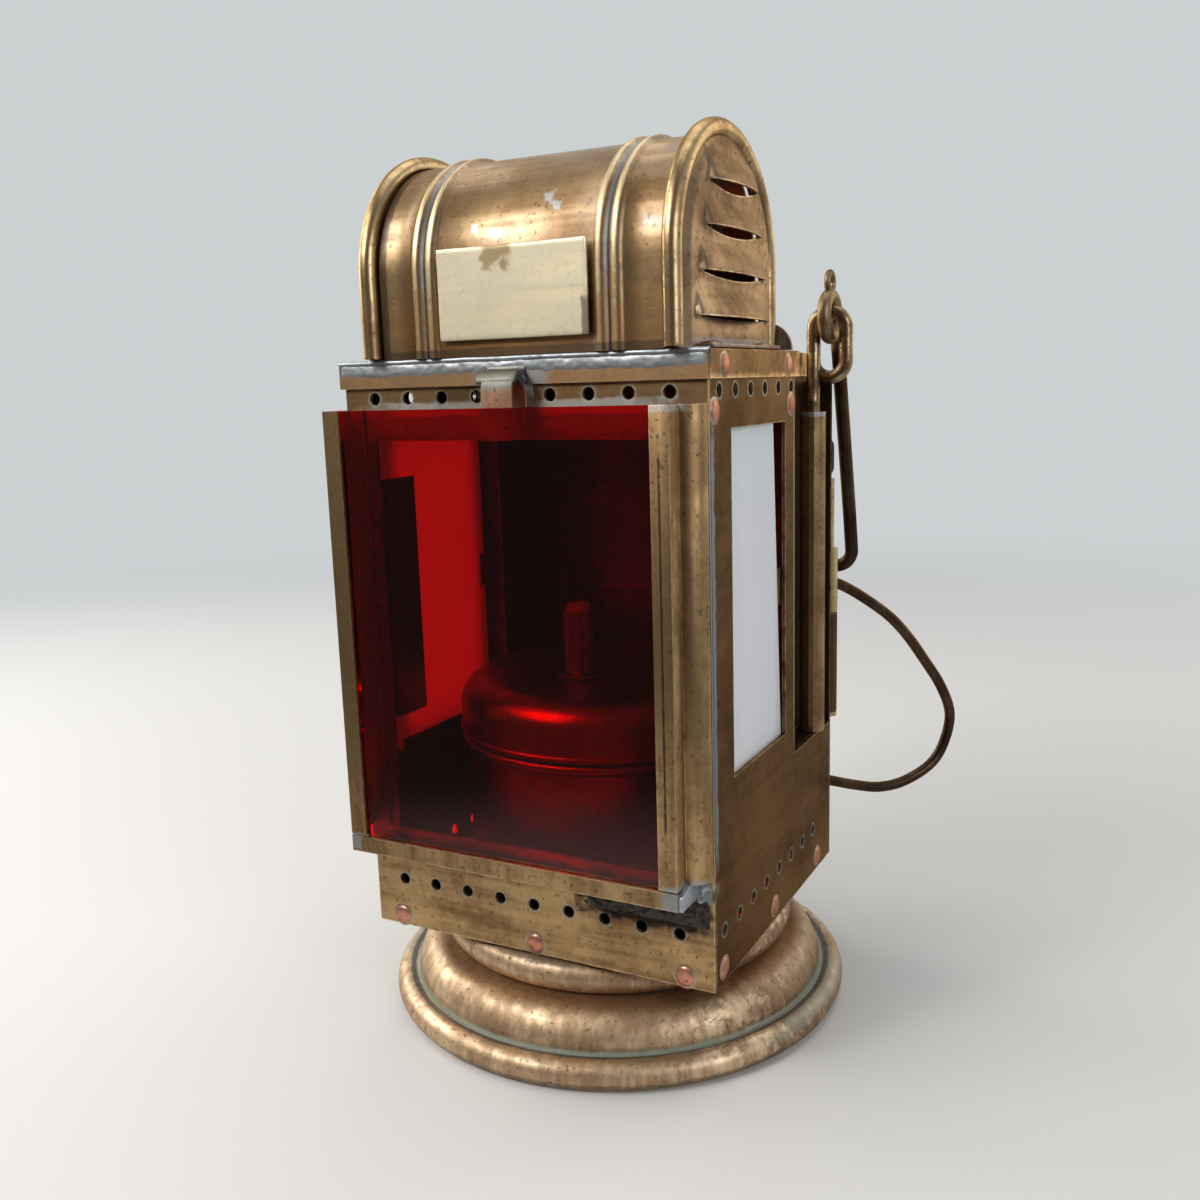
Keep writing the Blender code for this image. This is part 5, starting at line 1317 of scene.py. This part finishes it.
def bail_wire():
    down = Vector((0, math.sin(BAIL_LEAN), -math.cos(BAIL_LEAN)))
    out = Vector((0, math.cos(BAIL_LEAN), math.sin(BAIL_LEAN)))
    start = Vector((0, EYE_Y, RING_Z)) + out * RING_RADIUS
    half = EYE_X + BAIL_SPREAD
    side = [start + Vector((EYE_X, 0, 0)) + down * 0.01]
    side += [start + down * (BAIL_FLARE * k / 12) + Vector((EYE_X + BAIL_SPREAD * k / 12, 0, 0))
             for k in range(1, 12)]
    for i in range(13):
        angle = QUARTER_TURN * i / 12
        side.append(start + down * (BAIL_LEG - BAIL_BEND + BAIL_BEND * math.sin(angle))
                    + Vector((half - BAIL_BEND * (1 - math.cos(angle)), 0, 0)))
    other = [Vector((-point.x, point.y, point.z)) for point in reversed(side)]
    frame_wire = bend_wire("bail_wire", [point * MM for point in side + other], WIRE * MM)
    rings = []
    for sign in (-1, 1):
        circle = arc_points((EYE_Y, RING_Z), RING_RADIUS, 0, 352, 44)
        places = [mm(sign * EYE_X, y, z) for y, z in circle]
        rings.append(bend_wire(f"bail_ring_{sign}", places, WIRE * MM, closed=True))
    tip = arc_points((EYE_Y, RING_Z + RING_RADIUS + WIRE + TIP_RADIUS - TIP_WIRE), TIP_RADIUS, 0, 345, 23)
    places = [mm(EYE_X, y, z) for y, z in tip]
    rings.append(bend_wire("bail_tip", places, TIP_WIRE * MM, closed=True, sides=12))
    return join_pieces("bail_wire", [frame_wire, *rings])


hand_over(bail_wire(), wire_brown, body="bail", stands_for=["bail"], angle=60)

# %% [markdown]
# ### The grip
# Its places are given as shares of its reach and its height, and the curve runs through them.

# %% Grip
GRIP_SHARES = [
    (0.0, 0.21), (0.0, 0.155), (0.02, 0.115), (0.08, 0.09), (0.20, 0.062), (0.335, 0.03),
    (0.511, 0.0), (0.686, 0.011), (0.867, 0.074), (0.961, 0.172), (1.0, 0.312), (0.93, 0.455),
    (0.793, 0.609), (0.71, 0.695), (0.618, 0.775), (0.53, 0.835), (0.421, 0.895), (0.32, 0.945),
    (0.216, 0.985), (0.10, 1.0), (0.03, 0.985), (0.0, 0.95), (0.0, 0.90)]
GRIP_PLACE = (37.0, 46.95, 38.4)
GRIP_REACH, GRIP_HEIGHT = 48.7, 63.2
GRIP_HEADING = math.radians(45)


def grip_wire():
    out = Vector((math.cos(GRIP_HEADING), math.sin(GRIP_HEADING), 0)) * GRIP_REACH
    up = Vector((0, 0, GRIP_HEIGHT))
    places = [mm(*(Vector(GRIP_PLACE) + out * reach + up * rise)) for reach, rise in GRIP_SHARES]
    return bend_wire("grip_wire", smooth_route(places, 6), 1.5 * MM)


hand_over(grip_wire(), wire_brown, body="grip", stands_for=["grip"], angle=60)

# %% [markdown]
# ## Rivets
# The seams are held by copper rivets with low hammered heads. One head is shaped from half a
# ball, pressed flat, and every other is a copy set on its own sheet.

# %% Rivet heads
def rivet_head():
    """A low turned head with a thin skirt, where the bloom sits; the skirt is marked rim."""
    section = [(0, 0.62), (0.9, 0.60), (1.6, 0.52), (2.05, 0.36), (2.28, 0.14), (2.36, 0.08), (2.75, 0.07),
               (2.95, -0.02), (2.95, -0.2), (0, -0.2)]
    piece = turn_section("rivet_master", section, steps=28)
    for point in piece.data.vertices:
        point.co.z += 0.05 * MM * noise.noise(point.co * 900)
    rim = piece.data.attributes.new("rim", "FLOAT", "POINT")
    for point, mark in zip(piece.data.vertices, rim.data):
        out = math.hypot(point.co.x, point.co.y) / MM
        mark.value = 0.8 * clamp((out - 2.2) / 0.25)
    return piece


FACING = {"front": Euler((QUARTER_TURN, 0, 0)), "right": Euler((0, QUARTER_TURN, 0)),
          "left": Euler((0, -QUARTER_TURN, 0)), "up": Euler((0, 0, 0))}
RIVETS = [("front", (x, FRONT_SHEET_Y, 27.25)) for x in (-38.8, 0.0, 38.8)]
for side_name, side_x in (("right", 46.0), ("left", -46.0)):
    RIVETS += [(side_name, (side_x, y, 28.3)) for y in (-38.0, -3.5, 31.5)]
    RIVETS += [(side_name, (side_x, y, 152.0)) for y in (-40.2, 9.2)]
    RIVETS += [(side_name, (math.copysign(46.85, side_x), y, 161.3)) for y in (-36.5, 4.5)]
RIVETS += [("up", (x, y, 165.6)) for x in (42.9, -38.9) for y in (-34.0, -3.0)]


def set_rivets(master):
    copies = []
    for count, (facing, place) in enumerate(RIVETS):
        twin = copy_piece(master, f"rivet_{count}")
        spin = Matrix.Rotation(count * 1.3, 4, "Z")
        twin.data.transform(Matrix.Translation(mm(*place)) @ FACING[facing].to_matrix().to_4x4() @ spin)
        copies.append(twin)
    return join_pieces("rivets_copper", copies)


head = rivet_head()
rivets = set_rivets(head)
bpy.data.objects.remove(head, do_unlink=True)
hand_over(rivets, copper, angle=60)

# %% [markdown]
# ## Solder
# Grey solder runs along the cap's front edge, lies in a lump over the tongue and fills the
# corners of the frame. A fine grid is pushed out into a low cushion with a ragged outline,
# and sinks into the sheet at its border.

# %% Solder runs
SOLDER_STEP = 0.5
SOLDER_ROOT = 0.25
WAVE_SEED = 7


def solder_run(name, centre, size, seed, height, fray, lumps=0.5):
    """A low lump of solder: size is its width and height on the sheet, in millimetres."""
    columns = min(200, max(10, int(size[0] / SOLDER_STEP)))
    piece = add_grid(name, columns, max(10, int(size[1] / (0.7 * SOLDER_STEP))))
    for point in piece.data.vertices:
        u, v = point.co.x * 2, point.co.y * 2
        x, y = point.co.x * size[0], point.co.y * size[1]
        ragged = noise.fractal(Vector((x * 0.35, y * 0.35, seed)), 1.0, 2.0, 4)
        border = min((1 - abs(u)) * size[0], (1 - abs(v)) * size[1]) * 0.5
        cushion = clamp((border + ragged * fray * min(size)) / (0.35 * min(size)))
        if min(1 - abs(u), 1 - abs(v)) < 0.02:
            cushion = 0.0
        bulge = 1 - lumps / 2 + lumps * noise.noise(Vector((x * 0.8, y * 0.8, seed + 9)))
        point.co = mm(x, y, (height + SOLDER_ROOT) * cushion ** 0.6 * bulge - SOLDER_ROOT)
    apply_step(piece, "SOLIDIFY", thickness=0.2 * MM, offset=-1)
    put_in_place(piece, FACING["front"], mm(*centre))
    return piece


def solder_bead(name, ends, radius):
    """A thin uneven bead along an edge."""
    start, end = (Vector(place) for place in ends)
    steps = int((end - start).length / 1.2)
    points = []
    for i in range(steps + 1):
        place = start.lerp(end, i / steps)
        wave = noise.noise_vector(place * 0.3) * 0.12
        points.append(mm(*(place + Vector((0, wave.y, wave.z)))))
    return bend_wire(name, points, radius * MM, sides=12)


def corner_wedge(name, centre, size, seed):
    """A three-sided lump that closes the open corner between the rail and the channel."""
    let_go()
    bpy.ops.mesh.primitive_cube_add(size=1, location=(0, 0, 0))
    piece = name_piece(name)
    piece.scale = size
    bpy.ops.object.transform_apply(scale=True)
    for point in piece.data.vertices:
        if point.co.z > 0 and point.co.y > 0:
            point.co.z = size[2] * 1.1
        elif point.co.z > 0:
            point.co.z *= 0.6
    edit_mesh()
    bpy.ops.mesh.subdivide(number_cuts=9)
    leave_mesh()
    soften(piece, 0.3)
    for point in piece.data.vertices:
        point.co += point.normal * 0.35 * noise.noise(Vector((*point.co,)) * 0.9 + Vector((seed, 0, 0)))
        point.co = mm(*point.co) + mm(*centre)
    return piece


noise.seed_set(WAVE_SEED)
solder_pieces = [
    solder_run("solder_cap_front", (0, -44.42, 162.5), (93.8, 3.9), 1.7, 0.28, 0.13, 0.25),
    solder_bead("solder_cap_edge", [(-46.7, -44.25, 164.2), (46.7, -44.25, 164.2)], 0.62),
    solder_run("solder_tongue", (-1.2, -44.0, 159.4), (13.0, 8.4), 4.2, 0.8, 0.22),
    solder_run("solder_corner_right", (43.6, -43.6, 48.6), (4.5, 8.0), 7.3, 0.7, 0.25),
    corner_wedge("solder_wedge", (42.0, -48.6, 49.3), (1.6, 9.4, 4.0), 2.4),
]
hand_over(join_pieces("solder_runs", solder_pieces), solder, angle=60)

# %% [markdown]
# ### The spring tongue
# The tongue is a strip that holds the glass at its top. It springs from the front sheet in a
# soft arch, and solder has run over its back, a little behind the glass.

# %% Tongue
TONGUE_WIDTH = 7.8
TONGUE_ROUTE = [(-44.15, 150.1), (-44.15, 153.2), (-44.3, 156.3), (-46.0, 159.0), (-48.2, 160.2),
                (-49.7, 158.6), (-50.05, 155.4), (-50.05, 151.0), (-50.05, 146.7)]
SKIN_ROUTE = [(-44.2, 162.4), (-44.8, 161.4), (-46.3, 160.9), (-47.9, 160.8), (-49.0, 159.7), (-49.2, 158.8)]


def tongue_strip():
    route = smooth_route([mm(-TONGUE_WIDTH / 2, y, z) for y, z in TONGUE_ROUTE], 5)
    return fold_sheet("tongue_bent", route, mm(TONGUE_WIDTH, 0, 0), 0.6 * MM)


def tongue_solder():
    """A skin over the arch's back, with soft edges and small waves."""
    route = smooth_route([mm(-5.4, y, z) for y, z in SKIN_ROUTE], 4)
    skin = fold_sheet("solder_tongue_skin", route, mm(9.6, 0, 0), 1.1 * MM, edge=0.45 * MM)
    edit_mesh()
    bpy.ops.mesh.subdivide(number_cuts=3)
    leave_mesh()
    for point in skin.data.vertices:
        point.co += point.normal * 0.2 * MM * noise.noise(point.co * 420)
    return skin


hand_over(tongue_strip(), tongue_copper, stands_for=["spring_tongue"])
hand_over(tongue_solder(), tongue_copper, angle=60)

# %% [markdown]
# ### Tar under the rail
# Years of lamp oil and dust have made a black crust under the rail, thickest at the right.
# It is the same low lump, in black, with a border frayed much more.

# %% Tar
tar_pieces = [
    solder_run("tar_right", (29.0, -43.75, 43.2), (32.0, 7.6), 11.3, 0.9, 0.34, 0.9),
    solder_run("tar_left", (-8.0, -43.75, 45.0), (48.0, 4.6), 15.1, 0.4, 0.4, 0.9),
]
hand_over(join_pieces("tar_crust", tar_pieces), tar, angle=60)
